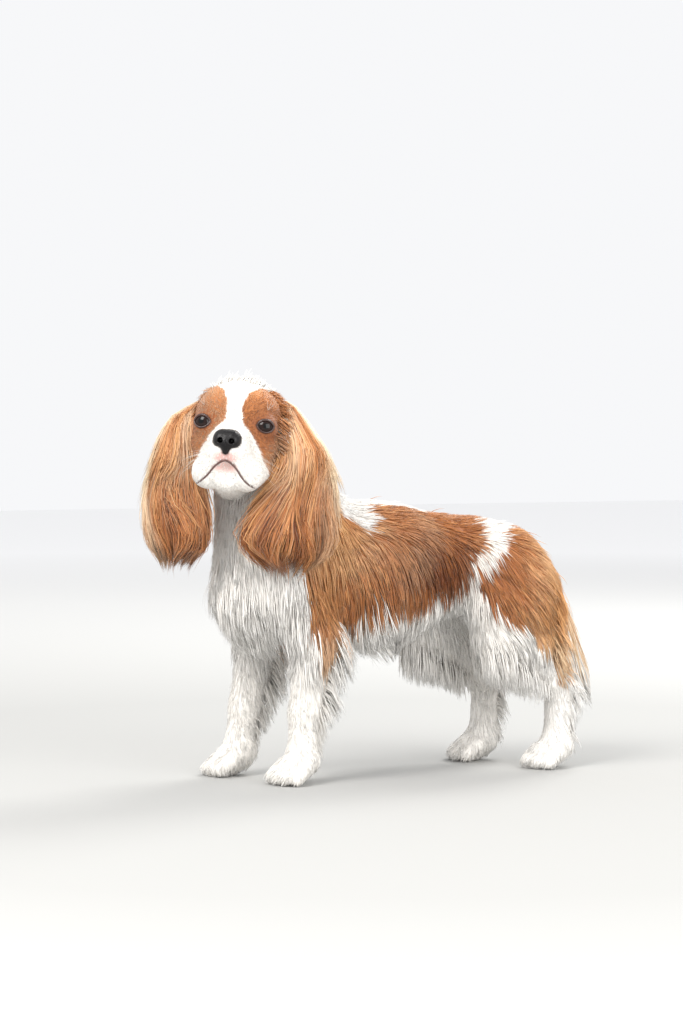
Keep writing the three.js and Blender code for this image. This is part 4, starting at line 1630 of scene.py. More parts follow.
@dataclass
class Pelt:
    """One piece of the coat that grows from the skin.

    Tufts start `sink` under the skin and lean out by `lift`. Each of their `rings` stations turns them
    by `turn` towards the lie of the coat and by `droop` down, and keeps them off the skin by `rise`.
    `stray` and `wave` bend them singly and together, `clump` and `pull` draw them into locks, and a
    share `wild` stands up. Their colour is read at the root, or by `carried` from their middle.
    """

    name: str
    count: int
    slot: Slot
    rings: int = 4
    width: float = 1.3
    sink: float = 0.8
    lift: float = 0.12
    droop: float = 0.1
    stray: float = 0.07
    wave: float = 0.18
    clump: float = 7
    pull: float = 0.3
    rise: float = 1.1
    turn: float = 0.5
    carried: float = 1.0
    wild: float = 0.01
    off_floor: float = 0.8
    unwraps: tuple[Unwrap, ...] = ()

    def weight(self, spot: Spot) -> Array:
        """How densely it grows at a place, from 0 to 1."""
        raise NotImplementedError

    def length(self, spot: Spot) -> Array:
        """How long the tufts are at a place, in millimetres."""
        raise NotImplementedError

    def lie(self, spot: Spot) -> Array:
        """The way that the tufts lie."""
        return LIE.way(spot)

    def pale(self, spot: Spot) -> Array:
        """How blond the chestnut is, from 0 to 1."""
        low = ramp(-spot.at[:, 2], -195, -140) * (1 - spot.on_head)
        return np.clip(0.25 * Sway(60, 12).at(spot.at)[:, 0] + 0.04 + 0.4 * low, 0, 1)

    def roots(self, skin: "Ground") -> Spot:
        """Random places on the skin, as dense as the weight asks.

        Args:
            skin: The skin that they are on.

        Returns:
            The places.
        """
        rng = np.random.default_rng(sum(map(ord, self.name)))
        chance = skin.areas * np.clip(self.weight(skin.middles), 0, 1)
        face = rng.choice(len(chance), self.count, p=chance / chance.sum())
        a, b = rng.random((2, self.count, 1))
        flip = a + b > 1
        a, b = np.where(flip, 1 - a, a), np.where(flip, 1 - b, b)
        at = skin.corners[face, 0] * (1 - a - b) + skin.corners[face, 1] * a + skin.corners[face, 2] * b
        return Spot.read(at, unit(FLESH.slope(at)))

    def grow(self, skin: "Ground") -> Tufts:
        """Grows the tufts station by station.

        Each step turns the way towards the lie of the coat and down by its droop, and a station that
        falls under the coat's floor, which rises from root to tip, is moved out onto it.

        Args:
            skin: The skin that they grow from.

        Returns:
            The tufts.
        """
        rng = np.random.default_rng(sum(map(ord, self.name)) + 1)
        roots = self.roots(skin)
        count = len(roots.at)
        length = self.length(roots) * rng.uniform(0.75, 1.15, count)
        step = (length / self.rings)[:, None]
        loose = rng.normal(size=(count, 3)) * self.stray + Sway(46, 21).at(roots.at) * self.wave
        loose += Sway(15, 22).at(roots.at) * self.wave * 0.6
        stands = rng.random((count, 1)) < self.wild
        loose += roots.out * (stands * rng.uniform(0.3, 1.0, (count, 1)))
        spot = Spot(roots.at - roots.out * self.sink, roots.out, roots.on_head, roots.face)
        way = unit(self.lie(roots) + roots.out * self.lift + loose)
        under = FLESH.distance(roots.at)
        paths, outs = [spot.at], [spot.out]
        for n in range(self.rings):
            at = spot.at + way * step
            out = unit(FLESH.slope(at))
            floor = under + self.rise * (n + 1) * rng.uniform(0.5, 1.4, count)
            at = at + out * np.maximum(floor - FLESH.distance(at), 0)[:, None]
            at[:, 2] = np.maximum(at[:, 2], self.off_floor)
            spot = Spot(at, out, roots.on_head, HEAD_FRAME.into(at))
            wander = Sway(22, 23).at(at) * self.wave * 0.7
            turned = mix(way, self.lie(spot), self.turn) + np.array([0, 0, -self.droop])
            way = unit(turned + loose * 0.3 + wander)
            paths.append(at)
            outs.append(out)
        stacked = clumped(np.stack(paths, 1), self.clump, self.pull)
        seen = mix(roots.at, stacked[:, self.rings // 2 + 1], self.carried)
        tint = 0.5 + 0.14 * Sway(30, 31).at(roots.at)[:, 1] + 0.12 * Sway(7, 33).at(roots.at)[:, 0]
        tint += rng.normal(size=count) * 0.07
        values = {
            "chestnut": (MARKINGS.chestnut(seen, roots.on_head) > rng.uniform(0.35, 0.65, count)) * 1.0,
            # the tint carries the painted light and shade of MARKINGS.tone
            "tint": np.clip(tint + MARKINGS.tone(seen, roots.on_head), 0, 1),
            "pale": np.clip(self.pale(roots), 0, 1),
        }
        return Tufts(stacked, np.stack(outs, 1), self.widths(roots, rng), values, self.places(roots))

    def widths(self, roots: Spot, rng: np.random.Generator) -> Array:
        """Each tuft's width at its root."""
        return self.width * rng.uniform(0.7, 1.3, len(roots.at))

    def places(self, roots: Spot) -> Array:
        """Each root's place on the bake map, by the nearest of the unwraps.

        Args:
            roots: The roots.

        Returns:
            One place per root.
        """
        centres = np.array([unwrap.centre for unwrap in self.unwraps], float)
        nearest = np.linalg.norm(roots.at[:, None, :2] - centres[None, :, :2], axis=-1).argmin(1)
        maps = np.stack([unwrap.at(roots.at) for unwrap in self.unwraps])
        return maps[nearest, np.arange(len(roots.at))]


@dataclass
class Ground:
    """The skin as triangles that a coat can be rooted in."""

    corners: Array
    areas: Array
    middles: Spot

    @classmethod
    def under(cls, points: Array, quads: Array) -> "Ground":
        """Reads the skin's net.

        Args:
            points: The net's points.
            quads: Its quads.

        Returns:
            The ground.
        """
        corners = points[np.vstack([quads[:, :3], quads[:, (0, 2, 3)]])]
        normal = np.cross(corners[:, 1] - corners[:, 0], corners[:, 2] - corners[:, 0])
        areas = np.linalg.norm(normal, axis=1) / 2
        return cls(corners, areas, Spot.read(corners.mean(1), unit(normal)))


TRUNK_MAP = (Unwrap((0, 0, 232), (1, 0, 0), 460),)
HEAD_MAP = (Unwrap(HEAD_AT, (0.5, 0.8, 0), 260),)
LEG_MAP = tuple(
    Unwrap((leg.low, leg.y, 130), (0, 0, 1), 290, (0.01 + n / 4, 0.01, 0.24 + n / 4, 0.98))
    for n, leg in enumerate(LEGS.values())
)


@dataclass
class HeadCoat(Pelt):
    """Short fur on the face, longer on the crown and the cheeks."""

    clear: float = 1.2

    def bare(self, spot: Spot) -> Array:
        """Where nothing grows: eyes, lids, lips and nose.

        Args:
            spot: Places on the skin.

        Returns:
            1 where it is bare, to 0.
        """
        h = spot.face
        to_eyes = np.min([eye.almond(h) for eye in EYES.values()], axis=0)
        mouth = Mouth()
        to_lips = mouth.distance(h, mouth.path())
        corner = ramp(np.abs(h[:, 1]), 16, 38)
        close = np.minimum(np.minimum(to_eyes - 1.4, to_lips - mix(1.0, -0.6, corner)), Nose().pad(h))
        return np.maximum(1 - ramp(close, self.clear * 0.3, self.clear * 1.6), 0.9 * mouth.bare(h))

    def front(self, spot: Spot) -> Array:
        """1 on the face, 0 on the crown, the back of the cheeks and the nape."""
        return ramp(spot.face[:, 0] - 0.35 * spot.face[:, 2], -14, 8)

    def weight(self, spot: Spot) -> Array:
        """The face, but for its bare parts."""
        return spot.on_head * (1 - self.bare(spot)) * self.front(spot)

    def length(self, spot: Spot) -> Array:
        """3.6 mm on the muzzle, 5.6 on the brows, 11 on the cheeks, and less round the eyes.

        Args:
            spot: Places on the skin.

        Returns:
            Millimetres.
        """
        h = spot.face
        muzzle = ramp(h[:, 0], 22, 58)
        back = ramp(-h[:, 0] + 0.4 * np.abs(h[:, 2]), -10, 24)
        to_eyes = np.min([eye.almond(h) for eye in EYES.values()], axis=0)
        return mix(mix(5.6, 3.6, muzzle), 11, back) * mix(0.4, 1, ramp(to_eyes, 1, 15))

    def lie(self, spot: Spot) -> Array:
        """The lie of the coat, parted round the eyes.

        Args:
            spot: Places on the skin.

        Returns:
            One direction per place.
        """
        way = LIE.way(spot)
        for eye in EYES.values():
            off = HEAD_FRAME.way(unit(spot.face - eye.centre))
            off = unit(off - (off * spot.out).sum(-1, keepdims=True) * spot.out)
            near = 1 - ramp(eye.almond(spot.face), 2, 14)
            way = way + off * (2.6 * near)[:, None]
        return unit(way)

    def widths(self, roots: Spot, rng: np.random.Generator) -> Array:
        """Finest on the muzzle."""
        muzzle = ramp(roots.face[:, 0], 0, 40)
        return mix(1.0, 0.7, muzzle) * rng.uniform(0.7, 1.3, len(roots.at))


@dataclass
class Crown(HeadCoat):
    """Loose fluffy hair that stands on the crown, and lies over the cheeks, the nape and the ears' roots."""

    def weight(self, spot: Spot) -> Array:
        """Everywhere on the head that the face's coat isn't."""
        return spot.on_head * (1 - self.front(spot)) * (1 - self.bare(spot))

    def top(self, spot: Spot) -> Array:
        """1 on the top of the skull."""
        return ramp(spot.face[:, 2] - 0.25 * spot.face[:, 0], 40, 52)

    def length(self, spot: Spot) -> Array:
        """24 mm."""
        return np.full(len(spot.at), 24.0)

    def lie(self, spot: Spot) -> Array:
        """The lie of the coat, but more upright on the top, and hanging down the sides.

        Args:
            spot: Places on the skin.

        Returns:
            One direction per place.
        """
        top = self.top(spot)
        hang = ramp(np.abs(spot.face[:, 1]), 20, 40) * (1 - top)
        raised = LIE.way(spot) + spot.out * (0.08 * top)[:, None]
        return unit(raised - np.array([0, 0, 1]) * (1.6 * hang)[:, None])

    def widths(self, roots: Spot, rng: np.random.Generator) -> Array:
        """Some finer than elsewhere."""
        return self.width * rng.uniform(0.6, 1.3, len(roots.at))


@dataclass
class NeckCoat(Pelt):
    """The neck's longer hair, from throat to nape."""

    def weight(self, spot: Spot) -> Array:
        """All round the neck."""
        return spot.on_neck

    def length(self, spot: Spot) -> Array:
        """24 mm on the nape, 32 at the throat."""
        return mix(24, 32, ramp(spot.out[:, 0], -0.2, 0.6))


@dataclass
class TrunkCoat(Pelt):
    """The silky coat of one side: back, flank, shoulder and thigh."""

    side: Side = Side.LEFT

    def weight(self, spot: Spot) -> Array:
        """One side of the trunk."""
        near = (spot.at[:, 1] * self.side.value > 0) * 1.0
        return near * (1 - spot.on_neck) * (1 - spot.on_leg) * (1 - spot.on_head)

    def length(self, spot: Spot) -> Array:
        """24 mm on the back to 42 on the flanks."""
        return mix(24, 42, ramp(1 - spot.out[:, 2], 0.2, 1))


@dataclass
class Bib(Pelt):
    """Long white hair down the chest."""

    def weight(self, spot: Spot) -> Array:
        """The front of the chest, down to between the forelegs."""
        front = ramp(spot.out[:, 0], 0.05, 0.5) * ramp(spot.at[:, 0], 110, 140)
        return front * ramp(spot.at[:, 2], 140, 165) * ramp(-spot.at[:, 2], -318, -290) * (1 - spot.on_head)

    def length(self, spot: Spot) -> Array:
        """54 mm low on the chest to 36 above."""
        return mix(54, 36, ramp(spot.at[:, 2], 190, 290))


@dataclass
class Fringe(Pelt):
    """The fringe under the belly."""

    def weight(self, spot: Spot) -> Array:
        """The underside between the fore and the hind legs.

        Args:
            spot: Places on the skin.

        Returns:
            0 to 1.
        """
        low = ramp(-spot.out[:, 2], 0.1, 0.55)
        span = ramp(spot.at[:, 0], -96, -70) * ramp(-spot.at[:, 0], -122, -90)
        return low * span * ramp(spot.at[:, 2], 140, 150)

    def length(self, spot: Spot) -> Array:
        """58 mm behind the forelegs to 32 before the hind ones."""
        return mix(32, 58, ramp(spot.at[:, 0], -50, 80))


@dataclass
class LegCoat(Pelt):
    """Short hair on the legs, and longer hair over the toes."""

    def weight(self, spot: Spot) -> Array:
        """The legs down to the floor."""
        return spot.on_leg * ramp(spot.at[:, 2], 1, 4)

    def length(self, spot: Spot) -> Array:
        """11 mm, with 14 over the toes and 22 at the top."""
        z = spot.at[:, 2]
        return 11 + 3 * ramp(-z, -26, -12) + 11 * ramp(z, 80, 150)


@dataclass
class Feathers(Pelt):
    """Long feathers down the backs of the legs, with the breeches."""

    def weight(self, spot: Spot) -> Array:
        """The back of each leg, from the elbow or the thigh down to the pastern.

        Args:
            spot: Places on the skin.

        Returns:
            0 to 1.
        """
        back = ramp(-spot.out[:, 0], 0.35, 0.8)
        x, z = spot.at[:, 0], spot.at[:, 2]
        fore = (x > 20) * ramp(-z, -196, -170) * ramp(z, 34, 60)
        hind = (x < -20) * ramp(-z, -232, -205) * ramp(z, 26, 46)
        return back * (fore + hind)

    def length(self, spot: Spot) -> Array:
        """52 mm at the elbow and 44 at the breeches to 22 by the foot."""
        x, z = spot.at[:, 0], spot.at[:, 2]
        return np.where(x > 0, mix(22, 52, ramp(z, 40, 150)), mix(22, 44, ramp(z, 40, 130)))

    def lie(self, spot: Spot) -> Array:
        """Back and down."""
        return np.broadcast_to(unit(np.array([-0.4, 0, -0.92])), spot.at.shape)


@dataclass
class StifleFeathers(Feathers):
    """Hair that hangs in front of the stifles and inside the thighs."""

    def weight(self, spot: Spot) -> Array:
        """The underside of the lower thigh.

        Args:
            spot: Places on the skin.

        Returns:
            0 to 1.
        """
        x, z = spot.at[:, 0], spot.at[:, 2]
        under = ramp(spot.out[:, 0] - 0.9 * spot.out[:, 2], 0.3, 0.9)
        return under * (x < -20) * ramp(z, 92, 108) * ramp(-z, -176, -160) * spot.on_leg

    def length(self, spot: Spot) -> Array:
        """28 to 46 mm."""
        return mix(28, 46, ramp(spot.at[:, 2], 100, 150))

    def lie(self, spot: Spot) -> Array:
        """Nearly straight down."""
        return np.broadcast_to(unit(np.array([-0.2, 0, -1])), spot.at.shape)


# Hanging hair: ears and tail


@dataclass
class Hanging:
    """A volume of hair that hangs along a middle line, and the tufts that lie over it.

    A surface point is C(t) + cos s · W(t) · broad + (sin s · T(t) − curl · W(t) · cos² s) · flat. Each
    row holds a point of the middle line, and the half width W and half thickness T there. A tuft covers
    a part of the line within `length` and sways round it by `sway`, and a share `fly` ends outside.
    """

    name: str
    rows: tuple[tuple[float, float, float, float, float], ...]
    broad: Array
    flat: Array
    count: int
    rings: int = 6
    curl: float = 0.22
    width: float = 2.0
    length: tuple[float, float] = (0.3, 0.5)
    root_end: float = 0.78
    sway: float = 0.3
    fly: float = 0.16
    pull: float = 0.45
    clump: float = 9
    seed: int = 1

    def at(self, t: Array, s: Array, depth: Array | float = 1.0) -> Array:
        """Points in the volume.

        Args:
            t: 0 at the root to 1 at the ends; beyond 1 it goes on downwards.
            s: The angle round the section.
            depth: 1 on the surface to 0 on the middle line.

        Returns:
            Points in design millimetres.
        """
        table = np.array(self.rows, float)
        knots = np.concatenate([[0], np.cumsum(np.linalg.norm(np.diff(table[:, :3], axis=0), axis=1))])
        knots /= knots[-1]
        centre = np.stack([np.interp(t, knots, table[:, n]) for n in range(3)], -1)
        wide = np.interp(t, knots, table[:, 3]) * depth
        thick = np.interp(t, knots, table[:, 4]) * depth
        end = unit(table[-1, :3] - table[-2, :3])
        centre = centre + np.maximum(t - 1, 0)[..., None] * self.span * end
        push = np.sin(s) * thick - self.curl * wide * np.cos(s) ** 2
        return centre + (np.cos(s) * wide)[..., None] * self.broad + push[..., None] * self.flat

    @property
    def span(self) -> float:
        """The length of the middle line."""
        table = np.array(self.rows, float)[:, :3]
        return float(np.linalg.norm(np.diff(table, axis=0), axis=1).sum())

    def core(self, share: float = 0.72, until: float = 0.9) -> tuple[Array, Array]:
        """The leather inside the hair, a closed sleeve.

        Args:
            share: Its size against the hair's.
            until: How far down it reaches.

        Returns:
            Points and faces.
        """
        rows, sides = 26, 28
        around = np.linspace(0, 2 * np.pi, sides, endpoint=False)
        t, s = np.meshgrid(np.linspace(0, until, rows), around, indexing="ij")
        round_off = np.sqrt(np.clip(1 - (t / until) ** 6, 0.02, 1)) * share
        points = self.at(t, s, round_off)
        ends = [points[0].mean(0), points[-1].mean(0)]
        return outward(np.vstack([points.reshape(-1, 3), ends]), closed_sleeve(rows, sides))

    def pale(self, t: Array, s: Array) -> Array:
        """How blond the hair is."""
        return 0.25 * ramp(-t, -0.35, 0)

    def chestnut(self, t: Array, s: Array) -> Array:
        """Chestnut or white."""
        return np.ones(len(t))

    def grow(self) -> Tufts:
        """Tufts down the volume: t and s of each station from its root's, with waves that neighbours share.

        Returns:
            The tufts.
        """
        rng = np.random.default_rng(self.seed)
        count = self.count
        t0 = rng.random(count) ** 0.9 * self.root_end
        s0 = rng.uniform(-np.pi, np.pi, count)
        depth = 1 - 0.5 * rng.random(count) ** 2.2
        reach = rng.uniform(*self.length, count)
        loose = self.fly * (1 + 5 * ramp(-t0, -0.3, -0.1))
        flown = np.where(rng.random(count) < loose, rng.uniform(0.1, 0.5, count), 0)
        ends = 1 + 0.035 * rng.normal(size=count) + 0.03 * np.sin(9 * s0)
        reach = np.where(t0 + reach > ends, np.maximum(ends - t0, 0.1), reach)
        paths, outs = [], []
        for n in range(self.rings + 1):
            f = n / self.rings
            t = t0 + reach * f
            drift = np.sin(2 * np.pi * (1.7 * t + 0.25 * np.sin(3 * s0)) + 2 * s0)
            drift = drift + 0.5 * np.sin(5 * np.pi * t + 5 * s0)
            s = s0 + self.sway * drift * ramp(t, 0.1, 0.6) * f
            lifted = depth * (1 + 0.05 * f * rng.uniform(0.2, 1.4, count) + flown * f * f)
            at = self.at(t, s, lifted)
            paths.append(at)
            outs.append(unit(self.square(t, s, lifted)) * self.turn)
        roots = self.at(t0, s0, depth)
        bands = 0.16 * np.sin(11 * s0 + 4 * np.sin(3 * t0)) + 0.18 * Sway(24, 41).at(roots)[:, 0]
        tint = np.clip(0.6 - 0.26 * ramp(t0 + reach, 0.6, 1.1) + bands + rng.normal(size=count) * 0.1, 0, 1)
        values = {
            "chestnut": (self.chestnut(t0 + reach * 0.5, s0) > rng.uniform(0.2, 0.8, count)) * 1.0,
            "tint": tint,
            "pale": np.clip(self.pale(t0 + reach * 0.5, s0) + rng.normal(size=count) * 0.05, 0, 1),
        }
        widths = self.width * rng.uniform(0.7, 1.3, count) * mix(1, 0.7, ramp(-t0, -0.2, 0))
        stacked = clumped(np.stack(paths, 1), self.clump, self.pull)
        patches = np.stack([0.01 + 0.97 * (s0 / (2 * np.pi) + 0.5), 0.01 + 0.97 * t0], -1)
        return Tufts(stacked, np.stack(outs, 1), widths, values, patches)

    @property
    def turn(self) -> float:
        """The sign that makes a normal found from the surface's own parameters point out.

        Returns:
            1 or −1.
        """
        s, t = np.array([0.3]), np.array([0.5])
        out = self.at(t, s) - self.at(t, s, 0.2)
        return float(np.sign((self.square(t, s, 1.0) * out).sum()))

    def square(self, t: Array, s: Array, depth: Array | float) -> Array:
        """A direction square to the surface: ∂P/∂s × ∂P/∂t, by differences.

        Args:
            t: 0 at the root to 1 at the ends.
            s: The angle round the section.
            depth: 1 on the surface to 0 on the middle line.

        Returns:
            One vector per place.
        """
        beside = self.at(t, s + 0.02, depth) - self.at(t, s - 0.02, depth)
        down = self.at(t + 0.01, s, depth) - self.at(t - 0.01, s, depth)
        return np.cross(beside, down)


def outward(points: Array, faces: Array) -> tuple[Array, Array]:
    """Turns a closed mesh's faces over if its volume is negative.

    Args:
        points: Its points.
        faces: Its faces.

    Returns:
        Points, and faces that look outwards.
    """
    a, b, c = (points[faces[:, n]] for n in range(3))
    return (points, faces) if (a * np.cross(b, c)).sum() > 0 else (points, faces[:, ::-1])


@dataclass
class Ear(Hanging):
    """A long ear: silky hair with painted rim light along one edge, darker and redder below."""

    # which edge takes the painted rim light, 1 or -1
    rim_lit_edge: float = 1.0

    def pale(self, t: Array, s: Array) -> Array:
        """Painted rim light along one edge, and painted highlights in streaks on the upper half.

        Args:
            t: 0 at the root to 1 at the ends.
            s: The angle round the section.

        Returns:
            0 to 1.
        """
        streaks = 0.5 + 0.5 * np.sin(7 * s + 3 * np.sin(4 * t + s))
        # painted rim light along one edge
        edge = ramp(self.rim_lit_edge * np.cos(s) + 0.25 * np.sin(5 * t + 2 * s), 0.1, 0.85) * ramp(-t, -1.15, -0.6)
        # painted highlights in streaks on the upper half
        upper = ramp(-t, -0.85, -0.2) * streaks
        return 0.85 * edge + 0.5 * upper


@dataclass
class Tail(Hanging):
    """A hanging tail, chestnut with a white end."""

    white_from: float = 0.66

    def chestnut(self, t: Array, s: Array) -> Array:
        """White at the end."""
        return 1 - ramp(t, self.white_from, self.white_from + 0.25)

    def pale(self, t: Array, s: Array) -> Array:
        """Golden, and creamy where the chestnut ends."""
        return 0.2 + 0.3 * np.sin(5 * s + 2 * t) ** 2 + 0.45 * ramp(t, 0.3, 0.75)


EAR_ROWS = {
    Side.LEFT: (
        (163, 39, 422, 6, 3), (160, 46, 415, 13, 6), (156, 51, 402, 21, 8), (147, 66, 368, 31, 11),
        (149, 75, 335, 44, 14), (160, 80, 306, 56, 18), (169, 84, 281, 62, 20), (171, 86, 266, 61, 19),
        (168, 85, 248, 47, 14), (170, 84, 238, 26, 8),
    ),
    Side.RIGHT: (
        (240, -8, 422, 6, 3), (249, -14, 415, 13, 5), (259, -18, 406, 21, 7), (265, -20, 394, 29, 8),
        (270, -21, 377, 35, 9), (272, -20, 354, 43, 12), (276, -19, 325, 53, 14), (277, -18, 305, 58, 16),
        (276, -16, 280, 57, 17), (274, -14, 260, 46, 14), (273, -13, 250, 33, 10), (273, -13, 244, 20, 7),
    ),
}
TAIL_ROWS = (
    (-126, 0, 262, 5, 5), (-148, 0, 251, 10, 9), (-162, 0, 244, 13, 11), (-180, 1, 230, 15, 12),
    (-194, 5, 206, 20, 13), (-204, 11, 172, 24, 14), (-213, 16, 138, 25, 14), (-226, 20, 104, 19, 11),
    (-237, 22, 78, 8, 6),
)


def level_side(out: Array) -> Array:
    """The level direction square to a level one, to its left."""
    return np.array([-out[1], out[0], 0.0])


def ears() -> dict[Side, Ear]:
    """The two ears. Each has the way that it faces, its tufts, its seed and the edge that takes painted rim
    light.

    Returns:
        An ear for each side.
    """
    facing = {
        Side.LEFT: ((-0.206, 0.979, 0.0), 6200, 61, 1.0),
        Side.RIGHT: ((0.980, 0.199, 0.0), 5800, 62, -1.0),
    }
    made = {}
    for side, (way, count, seed, rim_lit_edge) in facing.items():
        name, out = f"ear_{side.name.lower()}_hair", unit(np.array(way))
        broad = level_side(out)
        made[side] = Ear(name, EAR_ROWS[side], broad, out, count, 4, width=1.5, seed=seed, rim_lit_edge=rim_lit_edge)
    return made


def tail() -> Tail:
    """The tail's hair.

    Returns:
        The tail.
    """
    broad, flat = np.array([0.93, -0.05, 0.36]), np.array([0.05, 1.0, 0.0])
    return Tail(
        "tail_hair", TAIL_ROWS, broad, flat, 2300, 4, curl=0.0, length=(0.22, 0.4), root_end=0.8,
        width=1.6, seed=63,
    )


# Eyes, lids, whiskers and claws


@dataclass
class Eyeball:
    """A glossy ball with its pupil and iris on the way it looks."""

    side: Side
    rows: int = 48
    columns: int = 64

    def mesh(self) -> Piece:
        """P(a, b) = centre + r(cos a · gaze + sin a (cos b · across + sin b · up)), a from 0 to π.

        Returns:
            The piece. Its value `off` is a / 90°.
        """
        setting = EYES[self.side]
        a = np.linspace(0, np.pi, self.rows)[1:-1]
        b = np.linspace(0, 2 * np.pi, self.columns, endpoint=False)
        a, b = np.meshgrid(a, b, indexing="ij")
        ring = np.cos(b)[..., None] * setting.across + np.sin(b)[..., None] * setting.up
        way = np.cos(a)[..., None] * setting.gaze + np.sin(a)[..., None] * ring
        points = np.vstack([way.reshape(-1, 3), setting.gaze, -setting.gaze]) * EYE_RADIUS + setting.centre
        off = np.append(a.ravel(), [0, np.pi]) / (np.pi / 2)
        faces = closed_sleeve(self.rows - 2, self.columns)[:, (0, 3, 2, 1)]
        points, faces = outward(HEAD_FRAME.out(points), faces)
        return Piece(f"eye_{self.side.name.lower()}_ball", points, faces, {"off": off})


@dataclass
class Lids:
    """Dark lid rims round both eyes."""

    radius: float = 1.15
    count: int = 56
    proud: float = 0.55

    def mesh(self) -> Piece:
        """A bar round each opening, thicker above.

        Returns:
            The piece.
        """
        parts = []
        for setting in EYES.values():
            rim = setting.rim(self.count, EYE_RADIUS + self.proud)
            above = ((rim - setting.centre) @ setting.up) / EYE_RADIUS
            parts.append(tube(rim, self.radius * (1 + 0.35 * above), 8, closed=True))
        points, faces = gathered([outward(*part) for part in parts])
        return Piece("lid_rims", HEAD_FRAME.out(points), faces)


@dataclass
class Whiskers:
    """Curved bristles on the muzzle and over the eyes."""

    count: int = 14
    in_row: int = 5
    length: tuple[float, float] = (20, 36)
    brow_count: int = 3
    brow_length: float = 24
    thickness: float = 0.16
    stations: int = 12
    seed: int = 17

    def mesh(self) -> Piece:
        """Each is a bar along root + l·t·way + l·t²·bend.

        Returns:
            The piece.
        """
        rng = np.random.default_rng(self.seed)
        parts = []
        for side in Side:
            for n in range(self.count):
                row, place = divmod(n, self.in_row)
                root = np.array([66 - 5.0 * place, side.value * (15 + 3.4 * place), -38 - 6.5 * row])
                way = np.array([0.25 - 0.22 * place, side.value, -0.05 - 0.16 * row])
                way = way + rng.normal(size=3) * 0.1
                length = rng.uniform(*self.length)
                bend = np.array([-0.55, 0, -0.2 - 0.08 * row]) * rng.uniform(0.6, 1.3)
                parts.append(self.bristle(root, way, bend, length, 1.15))
            for n in range(self.brow_count):
                root = np.array([27.0 + 2 * n, side.value * (24 + 3 * n), 18.0])
                way = np.array([0.6, side.value * 0.3 * n, 0.8])
                parts.append(self.bristle(root, way, np.array([0.1, 0, -0.4]), self.brow_length, 1.1))
        points, faces = gathered(parts)
        return Piece("whiskers", HEAD_FRAME.out(points), faces)

    def bristle(
        self, root: Array, way: Array, bend: Array, length: float, blunt: float
    ) -> tuple[Array, Array]:
        """One bristle, in the head's frame, rooted in the flesh.

        Args:
            root: Where it starts.
            way: The way it sets out.
            bend: What its course adds to that towards its tip.
            length: Its length, in millimetres.
            blunt: Its thickness at the root against the usual.

        Returns:
            Points and faces.
        """
        p = HEAD_FRAME.out(root[None])
        for _ in range(5):
            p = p - FLESH.distance(p)[:, None] * unit(FLESH.slope(p))
        t = np.linspace(0, 1, self.stations)[:, None]
        path = HEAD_FRAME.into(p)[0] + length * (t * unit(way) + t * t * bend)
        return outward(*tube(path, self.thickness * (blunt - t[:, 0]), 4))


@dataclass
class Claws:
    """Four claws on each foot, low at the front of the toes."""

    length: float = 7
    radius: float = 1.7
    drop: float = 4.6
    height: float = 7.5
    lowest: float = 0.4

    def mesh(self) -> Piece:
        """Each is a bar along start + l·t·way − drop·t²·up.

        Returns:
            The piece.
        """
        parts = []
        t = np.linspace(0, 1, 7)[:, None]
        for leg in LEGS.values():
            turn = turn_about(2, leg.turn)
            for n in (-1.5, -0.5, 0.5, 1.5):
                way = turn @ np.array([1, 0.16 * n, 0.0])
                side = turn @ np.array([0, 1.0, 0])
                ahead = PAW_LENGTH * 0.5 - abs(n) * 3
                start = np.array([leg.paw, leg.y, self.height]) + way * ahead + side * n * 8
                path = start + way * self.length * t + np.array([0, 0, -self.drop]) * t * t
                parts.append(outward(*tube(path, self.radius * (1 - 0.75 * t[:, 0]), 6)))
        points, faces = gathered(parts)
        points[:, 2] = np.maximum(points[:, 2], self.lowest)
        return Piece("claws", points, faces)


# Studio


@dataclass
class Lamp:
    """A soft square light that looks at the dog."""

    name: str
    place: Point
    power: float
    size: float
    colour: Point = (1.0, 1.0, 1.0)

    def build(self, target: Array) -> None:
        """Places the light.

        Args:
            target: What it looks at.
        """
        light = bpy.data.lights.new(self.name, "AREA")
        light.energy, light.size, light.color = self.power, self.size, self.colour
        lamp = bpy.data.objects.new(self.name, light)
        bpy.context.scene.collection.objects.link(lamp)
        lamp.location = self.place
        aim(lamp, target - np.array(self.place))


def aim(thing: bpy.types.Object, way: Array) -> None:
    """Turns a light or a camera to look along a direction, upright.

    Args:
        thing: The light or camera.
        way: Where it looks.
    """
    back = -unit(np.array(way, float))
    right = unit(np.cross([0, 0, 1.0], back))
    up = np.cross(back, right)
    thing.rotation_euler = Matrix(np.stack([right, up, back], 1).tolist()).to_euler()


